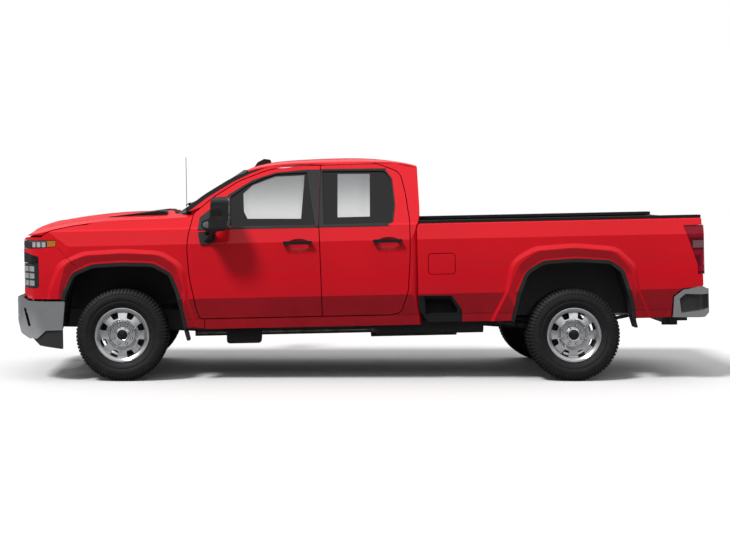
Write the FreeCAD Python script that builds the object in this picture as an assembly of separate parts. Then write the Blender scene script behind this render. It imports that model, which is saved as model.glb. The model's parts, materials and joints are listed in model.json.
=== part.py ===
"""Full-size heavy-duty pickup truck: double cab, long load bed, single rear wheels.

Millimetres. X points forward, Y to the left, Z up. The origin lies on the ground,
half way along the truck, on its centre plane.

The body and ladder frame are drawn level and then turned nose-down about the front
axle's ground line by RAKE, as an unloaded truck of this kind stands. Wheels, knuckles
and axles are drawn where they stand.
"""

import FreeCAD
import Part
import math
import os

V = FreeCAD.Vector

# Overall
LENGTH = 6513.0
WHEELBASE = 4127.0
FRONT_OVERHANG = 1050.0
RAKE = 1.2
TRACK = 1744.0

FRONT_AXLE_X = LENGTH / 2 - FRONT_OVERHANG
REAR_AXLE_X = FRONT_AXLE_X - WHEELBASE

# Wheels
TYRE_R = 421.0
TYRE_W = 272.0
RIM_R = 228.6
RIM_FLANGE_R = 246.0
RIM_W = 222.0
FIT = 0.3
HUB_FACE = 42.0
WINDOW_PCD_R = 181.0
WINDOWS = 8
NUT_PCD_R = 89.0
NUT_POCKET_R = 14.0
DISC_R = 178.0
STEER_Y = 760.0

# Body side, level frame
HALF_WIDTH = 1036.0
SILL_Z = 462.0
DOOR_BOTTOM_Z = 556.0
LOWER_CREASE_Z = 742.0
UPPER_CREASE_Z = 1240.0
BELT_Z = 1380.0
DOOR_TOP_Z = 1942.0
DOOR_SPLIT_X = 375.0
DOOR_GAP = 8.0
SKIN = 9.0
DOOR_DEPTH = 110.0
FRAME_DEPTH = 50.0
WALL_DEPTH = 125.0
WALL_DEPTH_UP = 75.0
FLANGE = 20.0
CAB_REAR_X = -545.0
CAB_FRONT_X = 1640.0

# Load bed
BED_FRONT_X = -575.0
BED_LEAD_X = -510.0
BED_REAR_X = -3103.0
BED_RAIL_Z = 1385.0
BED_FLOOR_Z = 862.0
BED_BOTTOM_Z = 482.0
BED_WALL = 125.0
TAILGATE_T = 62.0
CAP_T = 25.0
NORMAL = {"XZ": V(0, 1, 0), "YZ": V(1, 0, 0), "XY": V(0, 0, 1)}

# Body side: half width at each height, level frame
SIDE = [
    (HALF_WIDTH - 44, SILL_Z), (HALF_WIDTH - 35, DOOR_BOTTOM_Z - 8),
    (HALF_WIDTH - 31, DOOR_BOTTOM_Z + 6), (HALF_WIDTH - 2, LOWER_CREASE_Z),
    (HALF_WIDTH - 7, 960.0), (HALF_WIDTH, UPPER_CREASE_Z), (HALF_WIDTH - 29, BELT_Z - 6),
    (HALF_WIDTH - 44, BELT_Z + 12), (748.0, DOOR_TOP_Z), (726.0, DOOR_TOP_Z + 30),
]

# Door cuts, side view, level frame
DOOR_FRONT_CUT = [
    (1481.0, DOOR_BOTTOM_Z, 30.0), (1515.0, 651.0, 90.0), (1572.0, 940.0, 900.0),
    (1593.0, 1250.0, 700.0), (1522.0, 1520.0, 60.0), (1326.0, 1672.0), (1105.0, 1806.0, 500.0),
    (830.0, 1905.0, 500.0),
]
DOOR_ARC_TOP = (560.0, 1936.0, 900.0)
REAR_DOOR_TOP = [(-180.0, 1940.0, 90.0), (-386.0, 1857.0, 120.0)]
REAR_DOOR_CUT = [
    (-424.0, 1658.0, 500.0), (-448.0, 1414.0, 500.0), (-441.0, 1050.0, 500.0),
    (-417.0, 760.0, 300.0), (-352.0, DOOR_BOTTOM_Z + 20, 60.0), (-250.0, DOOR_BOTTOM_Z, 60.0),
]
DOOR_OPENING = DOOR_FRONT_CUT + [DOOR_ARC_TOP] + REAR_DOOR_TOP + REAR_DOOR_CUT
HALF_GAP = DOOR_GAP / 2
FRONT_WINDOW = [
    (1200.0, BELT_Z + 4, 40.0), (1196.0, 1667.0, 20.0), (1035.0, 1775.0, 300.0),
    (873.0, 1845.0, 300.0), (749.0, 1876.0, 60.0), (462.0, 1886.0, 18.0), (400.0, BELT_Z - 2, 18.0),
]
REAR_WINDOW = [
    (345.0, BELT_Z, 18.0), (345.0, 1892.0, 18.0), (-251.0, 1884.0, 50.0), (-310.0, 1800.0, 60.0),
    (-325.0, 1560.0, 100.0), (-300.0, 1400.0, 30.0), (-252.0, BELT_Z + 4, 30.0),
]

# Front end, level frame
ARCH_FRONT = [
    (1585.0, 430.0), (1622.0, 609.0, 200.0), (1664.0, 804.0, 250.0), (1735.0, 985.0, 110.0),
    (1900.0, 1076.0, 180.0), (2180.0, 1088.0, 700.0), (2460.0, 1076.0, 220.0),
    (2640.0, 1000.0, 120.0), (2735.0, 800.0, 200.0), (2790.0, 430.0),
]
ARCH_REAR = [
    (-2500.0, 430.0), (-2473.0, 636.0, 250.0), (-2385.0, 925.0, 130.0), (-2270.0, 1015.0, 110.0),
    (-1950.0, 1040.0, 800.0), (-1650.0, 1024.0, 200.0), (-1490.0, 930.0, 150.0),
    (-1412.0, 740.0, 250.0), (-1340.0, 430.0),
]
CREST_FRONT = [
    (1588.0, 430.0), (1604.0, 609.0, 200.0), (1616.0, 820.0, 300.0), (1664.0, 1040.0, 180.0),
    (1830.0, 1150.0, 260.0), (2160.0, 1174.0, 900.0), (2520.0, 1160.0, 300.0),
    (2712.0, 1086.0, 180.0), (2804.0, 830.0, 260.0), (2840.0, 430.0),
]
CREST_REAR = [
    (-2548.0, 430.0), (-2520.0, 636.0, 250.0), (-2466.0, 940.0, 180.0), (-2310.0, 1100.0, 180.0),
    (-1940.0, 1138.0, 900.0), (-1590.0, 1118.0, 240.0), (-1400.0, 1010.0, 200.0),
    (-1322.0, 740.0, 280.0), (-1262.0, 430.0),
]
FOOT_FRONT = [
    (1500.0, 430.0), (1510.0, 609.0, 200.0), (1500.0, 820.0, 300.0), (1530.0, 1110.0, 200.0),
    (1760.0, 1290.0, 260.0), (2160.0, 1340.0, 900.0), (2580.0, 1310.0, 320.0),
    (2800.0, 1170.0, 220.0), (2880.0, 860.0, 280.0), (2912.0, 430.0),
]
FOOT_REAR = [
    (-2640.0, 430.0), (-2615.0, 636.0, 250.0), (-2570.0, 1020.0, 200.0), (-2390.0, 1240.0, 240.0),
    (-1930.0, 1300.0, 900.0), (-1520.0, 1270.0, 300.0), (-1290.0, 1120.0, 240.0),
    (-1215.0, 740.0, 300.0), (-1150.0, 430.0),
]
CREST_OUT = 12.0
CREST_CLIP = 15.0
FOOT_IN = 45.0
BAND_IN = 8.0
CREST_LAND = 0.93
MOULDING_W = 34.0
MOULDING_RISE = 9.0
MOULDING_END_Z = 752.0
PLAN_CORNER = [(2640.0, HALF_WIDTH + 4, 420.0), (2985.0, HALF_WIDTH - 51, 150.0),
               (3110.0, 790.0, 150.0)]

# Creases above the arches: distance along, top edge, deepest line, foot, depth
FENDER_CREASE = [(2800.0, 1312.0, 1262.0, 1190.0, 15.0), (2250.0, 1320.0, 1272.0, 1210.0, 11.0),
                 (1790.0, 1330.0, 1284.0, 1240.0, -2.0)]
BED_CREASE = [(-1190.0, 1297.0, 1270.0, 1230.0, -2.0), (-2000.0, 1316.0, 1272.0, 1200.0, 9.0),
              (-2980.0, 1337.0, 1284.0, 1190.0, 14.0)]

# Door handles and window glass
HANDLE_FRONT_X = 447.0
HANDLE_REAR_X = -372.0
HANDLE_L = 267.0
HANDLE_Z = 1232.0
HANDLE_REACH = 42.0
SCOOP = (112.0, 20.0, 64.0)
SCOOP_DROP = 25.0
GLASS_INSET = 14.0
GLASS_T = 5.0

# Roof and cab: edge heights along the cab, and how high the middle stands
ROOF_EDGE = [(1020.0, 1903.0), (800.0, 1946.0), (244.0, 1962.0), (-81.0, 1962.0),
             (-351.0, 1948.0), (-545.0, 1904.0)]
ROOF_TOP = [1922.0, 1980.0, 2009.0, 2003.0, 1970.0, 1926.0]
ROOF_T = 12.0
A_PILLAR_EDGE = [(1676.0, 1505.0), (1425.0, 1690.0, 900.0), (1170.0, 1840.0, 900.0),
                 (1010.0, 1912.0)]

# Cab shell
REAR_STRIKER_X = -400.0
FENDER_END_X = 1440.0
FENDER_ZONE = [(1440.0, 400.0), (1900.0, 400.0), (1900.0, 1505.0), (1663.0, 1505.0),
               (1506.0, 1556.0), (1440.0, 1580.0)]
B_POST_X = 375.0
REAR_WALL_T = 48.0
FLOOR_Z = 640.0
REAR_GLASS = [(-560.0, 1440.0, 50.0), (560.0, 1440.0, 50.0), (520.0, 1800.0, 60.0),
              (-520.0, 1800.0, 60.0)]
CAB_CORNER_R = 115.0

# Gaps round the bed and the hood
BED_GAP = 10.0
HOOD_GAP = 8.0
HOOD_REAR_MID = 1772.0
HOOD_REAR_SIDE = 1540.0

# Fenders, fascia, hood and lamps
HOOD_T = 38.0
VALANCE_LOW = 796.0
GRILLE_LOW = 866.0
FASCIA_SEAM = [(2762.0, 1232.0), (2600.0, 1060.0)]
SEAM_W = 6.0
SEAM_DEPTH = 8.0
NOSE_OPENING = [(3300.0, 1196.0), (3095.0, 1192.0), (2944.0, 1152.0, 8.0), (2944.0, 880.0, 8.0),
                (2966.0, 862.0, 8.0), (3300.0, 866.0)]
CHEEK = [(3300.0, 1196.0), (3095.0, 1192.0), (2944.0, 1152.0, 8.0), (2944.0, 1096.0),
         (3300.0, 1096.0)]
CORNER_LAMP = [(3300.0, 1092.0), (2944.0, 1092.0), (2944.0, 880.0, 8.0), (2966.0, 862.0, 8.0),
               (3300.0, 866.0)]
HOOD_STOP_X = 2600.0
HOOD_STOP_Y = 950.0
HOOD_PLAN = [(1400.0, 905.0), (2250.0, 930.0, 900.0), (2640.0, 985.0, 400.0), (2800.0, 1130.0),
             (3400.0, 1130.0)]
PILLAR_FOOT = [(1380.0, 1590.0), (1500.0, 1550.0), (1660.0, 1498.0), (1684.0, 1498.0),
               (1684.0, 1700.0), (1380.0, 1700.0)]
HOOD_LOW = [(1400.0, 1446.0), (2300.0, 1446.0, 600.0), (2615.0, 1426.0, 600.0),
            (2830.0, 1384.0, 200.0), (2905.0, 1342.0, 60.0)]
FENDER_T = 60.0
GRILLE_HALF = 720.0
LAMP = [(2774.0, 1303.0, 12.0), (3300.0, 1303.0), (3300.0, 1221.0), (2950.0, 1226.0),
        (2782.0, 1240.0, 8.0)]
LAMP_T = 58.0

# Grille: each bar's height, half thickness and set-back
GRILLE_T = 40.0
GRILLE_BACK = 30.0
GRILLE_TOP = 1318.0
GRILLE_BARS = [(1194.0, 26.0, 4.0), (1112.0, 9.0, 22.0), (1039.0, 15.0, 6.0), (975.0, 14.0, 23.0),
               (912.0, 14.0, 33.0), (1258.0, 9.0, 34.0)]

# Front bumper
BUMPER_PLAN = [(2600.0, 1036.0), (2930.0, 1036.0, 260.0), (3130.0, 880.0, 220.0),
               (3215.0, 560.0, 300.0), (3242.0, 200.0, 900.0)]
BUMPER_T = 58.0
BUMPER_SIDE = [(2706.0, 742.0, 10.0), (3050.0, 750.0, 30.0), (3121.0, 787.0, 20.0),
               (3200.0, 776.0, 30.0), (3242.0, 700.0, 50.0), (3226.0, 562.0, 60.0),
               (3145.0, 455.0, 50.0), (3045.0, 404.0, 20.0), (2965.0, 415.0, 10.0),
               (2885.0, 480.0, 20.0), (2732.0, 488.0, 8.0)]
BUMPER_SLOT = [(3080.0, 688.0, 10.0), (3106.0, 688.0, 10.0), (3058.0, 516.0, 10.0),
               (3030.0, 516.0, 10.0)]
DAM_SIDE = [(3100.0, 520.0), (3018.0, 412.0), (2944.0, 343.0, 20.0), (2732.0, 308.0, 10.0),
            (2732.0, 520.0)]

# Bed side, lamps and tailgate
BED_OUTLINE = [
    (BED_LEAD_X, 600.0), (BED_LEAD_X, BED_RAIL_Z, 45.0), (BED_REAR_X, BED_RAIL_Z, 12.0),
    (BED_REAR_X, 764.0, 14.0), (-2916.0, 744.0, 12.0), (-2826.0, 678.0, 20.0),
    (-2812.0, BED_BOTTOM_Z, 10.0), (-600.0, BED_BOTTOM_Z, 10.0),
]
FUEL_DOOR = [(-851.0, 920.0, 30.0), (-607.0, 920.0, 30.0), (-607.0, 1108.0, 30.0),
             (-851.0, 1108.0, 30.0)]
STEP_RIM = [(-548.0, 725.0, 20.0), (-815.0, 722.0, 40.0), (-905.0, 590.0, 40.0),
            (-905.0, 500.0, 20.0), (-548.0, 500.0, 20.0)]
STEP_HOLE = [(-575.0, 692.0, 16.0), (-806.0, 687.0, 30.0), (-866.0, 600.0, 30.0),
             (-866.0, 557.0, 12.0), (-575.0, 557.0, 12.0)]
STEP_DEPTH = 108.0
FUEL_GAP = 6.0
FUEL_DOOR_IN = 7.0
TAIL_LAMP = [(-2934.0, 1320.0, 10.0), (-3300.0, 1320.0), (-3300.0, 872.0), (-3086.0, 872.0, 12.0),
             (-2994.0, 1145.0, 60.0)]
TAILGATE_HALF = 862.0
TAIL_LAMP_T = 46.0
WHEEL_HOUSE_Y = 655.0
TAILGATE_LOW = 792.0
TAILGATE_X = BED_REAR_X + TAILGATE_T / 2
TAILGATE_Z = TAILGATE_LOW + TAILGATE_T / 2
TRUNNION_R = 11.0
TRUNNION_RUN = 0.05

# Rear bumper
REAR_PLAN = [(-2750.0, 1032.0), (-3080.0, 1020.0, 120.0), (-3200.0, 860.0, 90.0),
             (-3272.0, 560.0, 200.0), (-3272.0, -560.0, 200.0), (-3200.0, -860.0, 90.0),
             (-3080.0, -1020.0, 120.0), (-2750.0, -1032.0)]
REAR_SIDE = [(-2822.0, 484.0, 8.0), (-2836.0, 669.0, 10.0), (-2922.0, 732.0, 14.0),
             (-3108.0, 752.0, 20.0), (-3272.0, 706.0, 40.0), (-3268.0, 545.0, 50.0),
             (-3140.0, 474.0, 14.0)]
REAR_POCKET = [(-2885.0, 650.0, 12.0), (-2940.0, 694.0, 16.0), (-3190.0, 680.0, 20.0),
               (-3190.0, 551.0, 20.0), (-2900.0, 520.0, 14.0)]
REAR_POCKET_DEPTH = 26.0
REAR_BUMPER_T = 46.0

# Arch lips, flaps and liners
LINER_OUT_Y = 970.0
FLAP_IN_Y = 860.0
FLAP_OUT = 54.0
FLAP_FRONT = [(1574.0, 358.0, 8.0), (1606.0, 358.0, 8.0), (1632.0, 456.0), (1641.0, 520.0),
              (1625.0, 520.0), (1616.0, 472.0), (1605.0, 452.0), (1596.0, 444.0)]
FLAP_REAR = [(-2514.0, 391.0, 8.0), (-2484.0, 391.0, 8.0), (-2460.0, 476.0), (-2454.0, 520.0),
             (-2468.0, 520.0), (-2473.0, 474.0), (-2494.0, 468.0)]
LINER_Y = 560.0

# Ladder frame, level frame
RAIL_IN = 362.0
RAIL_OUT = 432.0
RAIL_WALL = 8.0
RAIL_END_X = -3080.0
RAIL = [
    (3060.0, 470.0), (3060.0, 610.0), (2500.0, 640.0, 200.0), (1500.0, 590.0, 200.0),
    (-1250.0, 590.0, 200.0), (-1600.0, 700.0, 300.0), (-2300.0, 700.0, 300.0),
    (-2600.0, 650.0, 200.0), (RAIL_END_X, 650.0), (RAIL_END_X, 500.0), (-2600.0, 500.0, 200.0),
    (-2300.0, 545.0, 300.0), (-1600.0, 545.0, 300.0), (-1250.0, 390.0, 300.0),
    (1500.0, 390.0, 300.0), (2500.0, 450.0, 200.0),
]
CROSS = [(2960.0, 480.0), (1300.0, 400.0), (300.0, 400.0), (-700.0, 508.0), (-1330.0, 508.0),
         (-2480.0, 560.0), (-2840.0, 520.0)]
RECEIVER_Z = 400.0
RECEIVER_IN = 32.2
RECEIVER_OUT = 40.0
RECEIVER_END = -3215.0
RECEIVER_LEN = 210.0
PIN_R = 8.1
PIN_BACK = 64.0

# Tow hooks and wishbones
HOOK_Y = 398.0
HOOK_R = 18.0
ARM_SPREAD = 190.0

# Engine, gearbox and propeller shaft
ENGINE_SIDE = [(1790.0, 560.0, 40.0), (2560.0, 560.0, 40.0), (2560.0, 1180.0, 60.0),
               (1790.0, 1180.0, 60.0)]
ENGINE_HALF = 290.0
GEARBOX_SIDE = [(1830.0, 565.0), (1830.0, 830.0), (1000.0, 690.0, 60.0), (760.0, 670.0, 30.0),
                (760.0, 470.0, 30.0), (1000.0, 470.0, 60.0)]
GEARBOX_HALF = 150.0
SHAFT_START_X = 760.0
SHAFT_START_Z = 560.0
SHAFT_R = 44.0

# Axles, hubs and springs
SNOUT_REACH = 250.0
SNOUT_R = 66.0
SHAFT_END_Z = 352.0
HUB_Y = 800.0
HUB_BOSS_R = 50.0
SPINDLE_R = 35.0
SPINDLE_RUN = 0.05
SPRING_Y = 520.0
SPRING_Z = TYRE_R + 63.0
LEAF_T = 12.0
WHEEL_Y = TRACK / 2
KING_PIN_R = 14.0
KING_PIN_END = 146.0
KING_PIN_RUN = 0.05
DAMPER_R = 22.0

# Exhaust and fuel tank
TANK_FRONT_X = -150.0
TANK_REAR_X = -1120.0
TANK_SECTION = [(RAIL_OUT + FIT, 360.0, 30.0), (850.0, 360.0, 60.0), (850.0, 590.0, 60.0),
                (RAIL_OUT + FIT, 610.0, 20.0)]
EXHAUST_Z = 308.0
EXHAUST_Y = -300.0
EXHAUST_ROUTE = [
    (1600.0, EXHAUST_Y, EXHAUST_Z), (-150.0, EXHAUST_Y, EXHAUST_Z), (-1000.0, EXHAUST_Y, EXHAUST_Z),
    (-1360.0, EXHAUST_Y, EXHAUST_Z + 70), (-1650.0, EXHAUST_Y, 640.0), (-2250.0, EXHAUST_Y, 620.0),
    (-2450.0, EXHAUST_Y, 430.0), (-2700.0, -600.0, 400.0), (-2960.0, -740.0, 400.0),
]
HANGER_X = (1150.0, 50.0, -1120.0)
EXHAUST_R = 33.0
SILENCER_R = 74.0

# Inside the cab
DASH_SECTION = [(1519.7, 980.0, 30.0), (1519.7, 1380.0, 40.0), (1330.0, 1400.0, 60.0),
                (1180.0, 1330.0, 60.0), (1190.0, 1120.0, 60.0), (1300.0, 980.0, 40.0)]
CLUSTER = [(1250.0, 1340.0), (1250.0, 1440.0, 40.0), (1150.0, 1420.0, 30.0), (1150.0, 1330.0)]
SEAT_CUSHION = [(-250.0, 800.0, 40.0), (260.0, 830.0, 60.0), (270.0, 950.0, 60.0),
                (-250.0, 910.0, 50.0)]
SEAT_BACK = [(-240.0, 900.0, 40.0), (-120.0, 900.0, 60.0), (-250.0, 1500.0, 60.0),
             (-360.0, 1480.0, 60.0)]
HEAD_REST = [(-365.0, 1530.0, 30.0), (-255.0, 1540.0, 40.0), (-270.0, 1700.0, 40.0),
             (-375.0, 1690.0, 40.0)]
FRONT_SEAT = (720.0, 446.0, 248.0)
REAR_SEAT = (-90.0, 0.0, 760.0)
STEER_RING_R = 185.0
STEER_RING_T = 16.0
CAB_REAR_GAP = 495.0
WHEEL_POST_Y = 430.0
COLUMN_TILT = 26.0
STEER_HUB = (1010.0, WHEEL_POST_Y, 1262.0)
COLUMN_AXIS = (math.cos(math.radians(COLUMN_TILT)), 0.0, -math.sin(math.radians(COLUMN_TILT)))
COLUMN_ROOT = tuple(p + 260.0 * a for p, a in zip(STEER_HUB, COLUMN_AXIS))
COLUMN_END = tuple(p + (18.0 + FIT) * a for p, a in zip(STEER_HUB, COLUMN_AXIS))

# Mirrors and antenna
MIRROR_SIDE = [(1190.0, 1668.0, 36.0), (1346.0, 1662.0, 46.0), (1362.0, 1478.0, 20.0),
               (1430.0, 1452.0, 20.0), (1440.0, 1400.0, 24.0), (1376.0, 1348.0, 30.0),
               (1222.0, 1362.0, 24.0), (1192.0, 1468.0, 60.0)]
MIRROR_BACK = [(1118.0, 1344.0, 40.0), (1326.0, 1352.0, 50.0), (1344.0, 1676.0, 60.0),
               (1130.0, 1676.0, 60.0)]
MIRROR_FOOT = [(1326.0, 1262.0, 16.0), (1400.0, 1240.0, 16.0), (1468.0, 1240.0, 16.0),
               (1484.0, 1350.0, 12.0), (1330.0, 1352.0, 12.0)]
MIRROR_ARMS = [(1262.0, 1400.0), (1330.0, 1470.0)]
ANTENNA_Y = 948.0


def tangent_outline(points):
    """Lines and tangent arcs through (a, b, radius) corners, as 2D pieces."""
    n = len(points)
    ends = []
    for i, (a, b, r) in enumerate(points):
        pa, pb = points[i - 1][:2]
        na, nb = points[(i + 1) % n][:2]
        la, lb = math.hypot(pa - a, pb - b), math.hypot(na - a, nb - b)
        ua, ub = (pa - a) / la, (pb - b) / la
        va, vb = (na - a) / lb, (nb - b) / lb
        turn = math.acos(max(-1.0, min(1.0, ua * va + ub * vb)))
        if r <= 0 or math.pi - turn < 1e-4:
            ends.append(((a, b), None, (a, b)))
            continue
        cut = r / math.tan(turn / 2)
        limit = 0.49 * min(la, lb)
        if cut > limit:
            cut = limit
            r = cut * math.tan(turn / 2)
        start = (a + ua * cut, b + ub * cut)
        stop = (a + va * cut, b + vb * cut)
        ha, hb = ua + va, ub + vb
        hl = math.hypot(ha, hb)
        reach = r / math.sin(turn / 2) - r
        middle = (a + ha / hl * reach, b + hb / hl * reach)
        ends.append((start, middle, stop))
    return ends


def place(plane, at):
    """Maps outline coordinates to space: side view, front view or plan."""
    if plane == "XZ":
        return lambda p: V(p[0], at, p[1])
    if plane == "YZ":
        return lambda p: V(at, p[0], p[1])
    return lambda p: V(p[0], p[1], at)


def outline(points, plane, at=0.0):
    """A closed wire through corners (a, b) or (a, b, radius)."""
    points = [p if len(p) == 3 else (p[0], p[1], 0.0) for p in points]
    put = place(plane, at)
    ends = tangent_outline(points)
    edges = []
    for i, (start, middle, stop) in enumerate(ends):
        if middle:
            edges.append(Part.Arc(put(start), put(middle), put(stop)).toShape())
        nxt = ends[(i + 1) % len(ends)][0]
        if math.hypot(nxt[0] - stop[0], nxt[1] - stop[1]) > 1e-6:
            edges.append(Part.LineSegment(put(stop), put(nxt)).toShape())
    return Part.Wire(edges)


def prism(points, plane, low, high, grow=0.0):
    """An outline given thickness from low to high across its plane."""
    wire = outline(points, plane, low)
    if grow:
        wire = wire.makeOffset2D(grow)
    return Part.Face(wire).extrude(NORMAL[plane] * (high - low))


def box(x0, x1, y0, y1, z0, z1):
    x0, x1 = sorted((x0, x1))
    y0, y1 = sorted((y0, y1))
    z0, z1 = sorted((z0, z1))
    return Part.makeBox(x1 - x0, y1 - y0, z1 - z0, V(x0, y0, z0))


def rod(start, end, radius):
    """A round bar between two points."""
    axis = V(*end) - V(*start)
    return Part.makeCylinder(radius, axis.Length, V(*start), axis)


def mirrored(shape):
    """The same piece on the right-hand side."""
    return shape.mirror(V(0, 0, 0), V(0, 1, 0))


def fused(first, *others):
    shape = first.fuse(list(others)) if others else first
    return shape.removeSplitter()


def pair(shape):
    """Left and right pieces as one set of solids."""
    return Part.makeCompound([shape, mirrored(shape)])


def side_y(z):
    """Half width of the body side at height z."""
    for (y0, z0), (y1, z1) in zip(SIDE, SIDE[1:]):
        if z <= z1:
            return y0 + (y1 - y0) * (z - z0) / (z1 - z0)
    return SIDE[-1][0]


def side_band(x0, x1, outer, inner, low, high):
    """A slab along the left body side, between two depths below its surface."""
    heights = [low] + [z for _, z in SIDE if low < z < high] + [high]
    points = [(side_y(z) - outer, z) for z in heights]
    points += [(side_y(z) - inner, z) for z in reversed(heights)]
    return prism(points, "YZ", x0, x1)


def front_plan(back, grow=0.0):
    """The front end seen from above, as a closed outline from x = back forward."""
    left = [(x + grow, y + grow, r) for x, y, r in PLAN_CORNER]
    nose = [(3165.0 + grow, 330.0, 900.0)]
    half = [(back, HALF_WIDTH + 4 + grow, 0.0)] + left + nose
    return half + [(x, -y, r) for x, y, r in reversed(half)]


def front_block(grow=0.0, back=1480.0, low=400.0, high=1640.0):
    return prism(front_plan(back, grow), "XY", low, high)


def plan_y(x):
    """Half width of the front end at x, from its plan outline."""
    (x0, y0, _), (x1, y1, _) = PLAN_CORNER[:2]
    return y0 if x <= x0 else y0 + (y1 - y0) * (x - x0) / (x1 - x0)


def between(first, second, share):
    """An outline part of the way from one outline to another with as many corners."""
    return [tuple(a + (b - a) * share for a, b in zip(p, q)) for p, q in zip(first, second)]


def arch_swell(arch, crest, foot, envelope):
    """The body side's swelling round a wheel arch, up to a crest and down to the lip."""
    low, high = HALF_WIDTH - FOOT_IN, HALF_WIDTH + CREST_OUT
    rise = Part.makeLoft([outline(foot, "XZ", low), outline(crest, "XZ", high)], True, True)
    reach = 1.4
    start = HALF_WIDTH - BAND_IN
    stop = start + reach * (CREST_OUT + BAND_IN)
    wide = between(arch, crest, reach * CREST_LAND)
    fall = Part.makeLoft([outline(arch, "XZ", start), outline(wide, "XZ", stop)], True, True)
    swell = rise.cut(fall).cut(prism(arch, "XZ", low - 100, stop + 100, FIT))
    return swell.common(envelope)


def crease(stations, half_width):
    """A tapering groove along the body side, sharp at its top and easy below."""
    outside = HALF_WIDTH + 60
    wires = []
    for x, top, deep, foot, depth in stations:
        points = [(outside, top), (half_width(x, top), top), (half_width(x, deep) - depth, deep),
                  (half_width(x, foot), foot), (outside, foot)]
        wires.append(Part.makePolygon([V(x, y, z) for y, z in points + points[:1]]))
    return Part.makeLoft(wires, True, True)


def wheel_shapes():
    """Tyre and wheel about the origin, axis along Y, outer face towards +Y."""
    w, r = TYRE_W / 2, TYRE_R
    b, lip = RIM_W / 2, RIM_FLANGE_R
    half = [(w - 34, r), (w, r - 80), (b - 10 - FIT, lip + 2 * FIT), (b - 16 - FIT, RIM_R)]
    tyre = revolved(half + [(-a, h) for a, h in reversed(half)])
    barrel = [
        (-b, lip), (10 - b, lip), (16 - b, RIM_R - 0.3), (b - 16, RIM_R - 0.3), (b - 10, lip),
        (b, lip), (b + 1, lip - 14), (b - 12, RIM_R - 16), (HUB_FACE + 14, RIM_R - 34),
        (10, RIM_R - 24), (12 - b, RIM_R - 14), (-b, RIM_R + 4),
    ]
    rim = revolved(barrel)
    dish = [
        (HUB_FACE + 46, 0), (HUB_FACE + 46, 56), (HUB_FACE + 10, 66), (HUB_FACE + 8, 118),
        (HUB_FACE + 40, 142), (HUB_FACE + 24, RIM_R - 22), (HUB_FACE + 8, RIM_R - 22),
        (HUB_FACE + 22, 140), (HUB_FACE - 10, 122), (HUB_FACE - 10, 60), (HUB_FACE - 10, 0),
    ]
    face = revolved(dish)
    window = tangent_window()
    holes = [window.copy() for _ in range(WINDOWS)]
    for i, hole in enumerate(holes):
        hole.rotate(V(0, 0, 0), V(0, 1, 0), 360.0 / WINDOWS * (i + 0.5))
    pockets = [rod((NUT_PCD_R * math.cos(a), HUB_FACE - 1, NUT_PCD_R * math.sin(a)),
                   (NUT_PCD_R * math.cos(a), HUB_FACE + 40, NUT_PCD_R * math.sin(a)), NUT_POCKET_R)
               for a in (math.radians(360.0 / WINDOWS * (i + 0.5)) for i in range(WINDOWS))]
    face = face.cut(holes + pockets)
    wheel = rim.fuse([face]).removeSplitter()
    return tyre, wheel


def tangent_window():
    """One hand hole of the wheel face, at twelve o'clock."""
    low, high = WINDOW_PCD_R - 28, WINDOW_PCD_R + 22
    points = [(-24, low, 15), (24, low, 15), (37, high, 15), (0, high + 5, 160), (-37, high, 15)]
    return prism(points, "XZ", -TYRE_W, TYRE_W)


def revolved(points):
    """A ring: (along the axle, radius) points turned about the Y axis."""
    wire = Part.makePolygon([V(0, a, r) for a, r in points] + [V(0, points[0][0], points[0][1])])
    return Part.Face(wire).revolve(V(0, 0, 0), V(0, 1, 0), 360)


def body_block(grow=0.0, low=400.0, high=1640.0):
    """The front end as one solid block: its plan outline and its side profile."""
    heights = [low] + [z for _, z in SIDE if low < z < high] + [high]
    half = [(side_y(z) + grow, z) for z in heights]
    across = half + [(-y, z) for y, z in reversed(half)]
    return front_block(grow, 1430.0, low, high).common(prism(across, "YZ", 1430.0, 3300.0))


def door_blank(grow, y0=0.0, y1=1200.0):
    return prism(DOOR_OPENING, "XZ", y0, y1, grow)


def ahead_of_split(shift):
    """Everything ahead of the cut between the doors, moved along by shift."""
    cut = [(364.0, 400.0), (DOOR_SPLIT_X + 7, BELT_Z), (344.0, 2000.0)]
    points = [(x + shift, z) for x, z in cut] + [(1800.0, 2000.0), (1800.0, 400.0)]
    return prism(points, "XZ", 0, 1200)


def door(front):
    """A left door: outer skin, inset inner box, window opening; and its glass."""
    def own_side(shape, shift):
        if front:
            return shape.common(ahead_of_split(shift))
        return shape.cut(ahead_of_split(-shift))

    x0, x1 = CAB_REAR_X, CAB_FRONT_X
    skin = side_band(x0, x1, 0, SKIN, 500, DOOR_TOP_Z + 20).common(door_blank(-HALF_GAP))
    low = side_band(x0, x1, SKIN, DOOR_DEPTH, 500, BELT_Z)
    high = side_band(x0, x1, SKIN, FRAME_DEPTH, BELT_Z, DOOR_TOP_Z + 20)
    inner = low.fuse(high).common(door_blank(-HALF_GAP - FLANGE))
    panel = fused(own_side(skin, HALF_GAP), own_side(inner, HALF_GAP + FLANGE))
    opening = FRONT_WINDOW if front else REAR_WINDOW
    panel = panel.cut(prism(opening, "XZ", 0, 1200))
    handle_x = HANDLE_FRONT_X if front else HANDLE_REAR_X
    panel = panel.cut(handle_scoop(handle_x)).fuse(door_handle(handle_x)).removeSplitter()
    glass = side_band(x0, x1, GLASS_INSET, GLASS_INSET + GLASS_T, BELT_Z - 8, DOOR_TOP_Z)
    glass = glass.common(prism(opening, "XZ", 0, 1200, -FIT))
    return panel, glass


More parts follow.
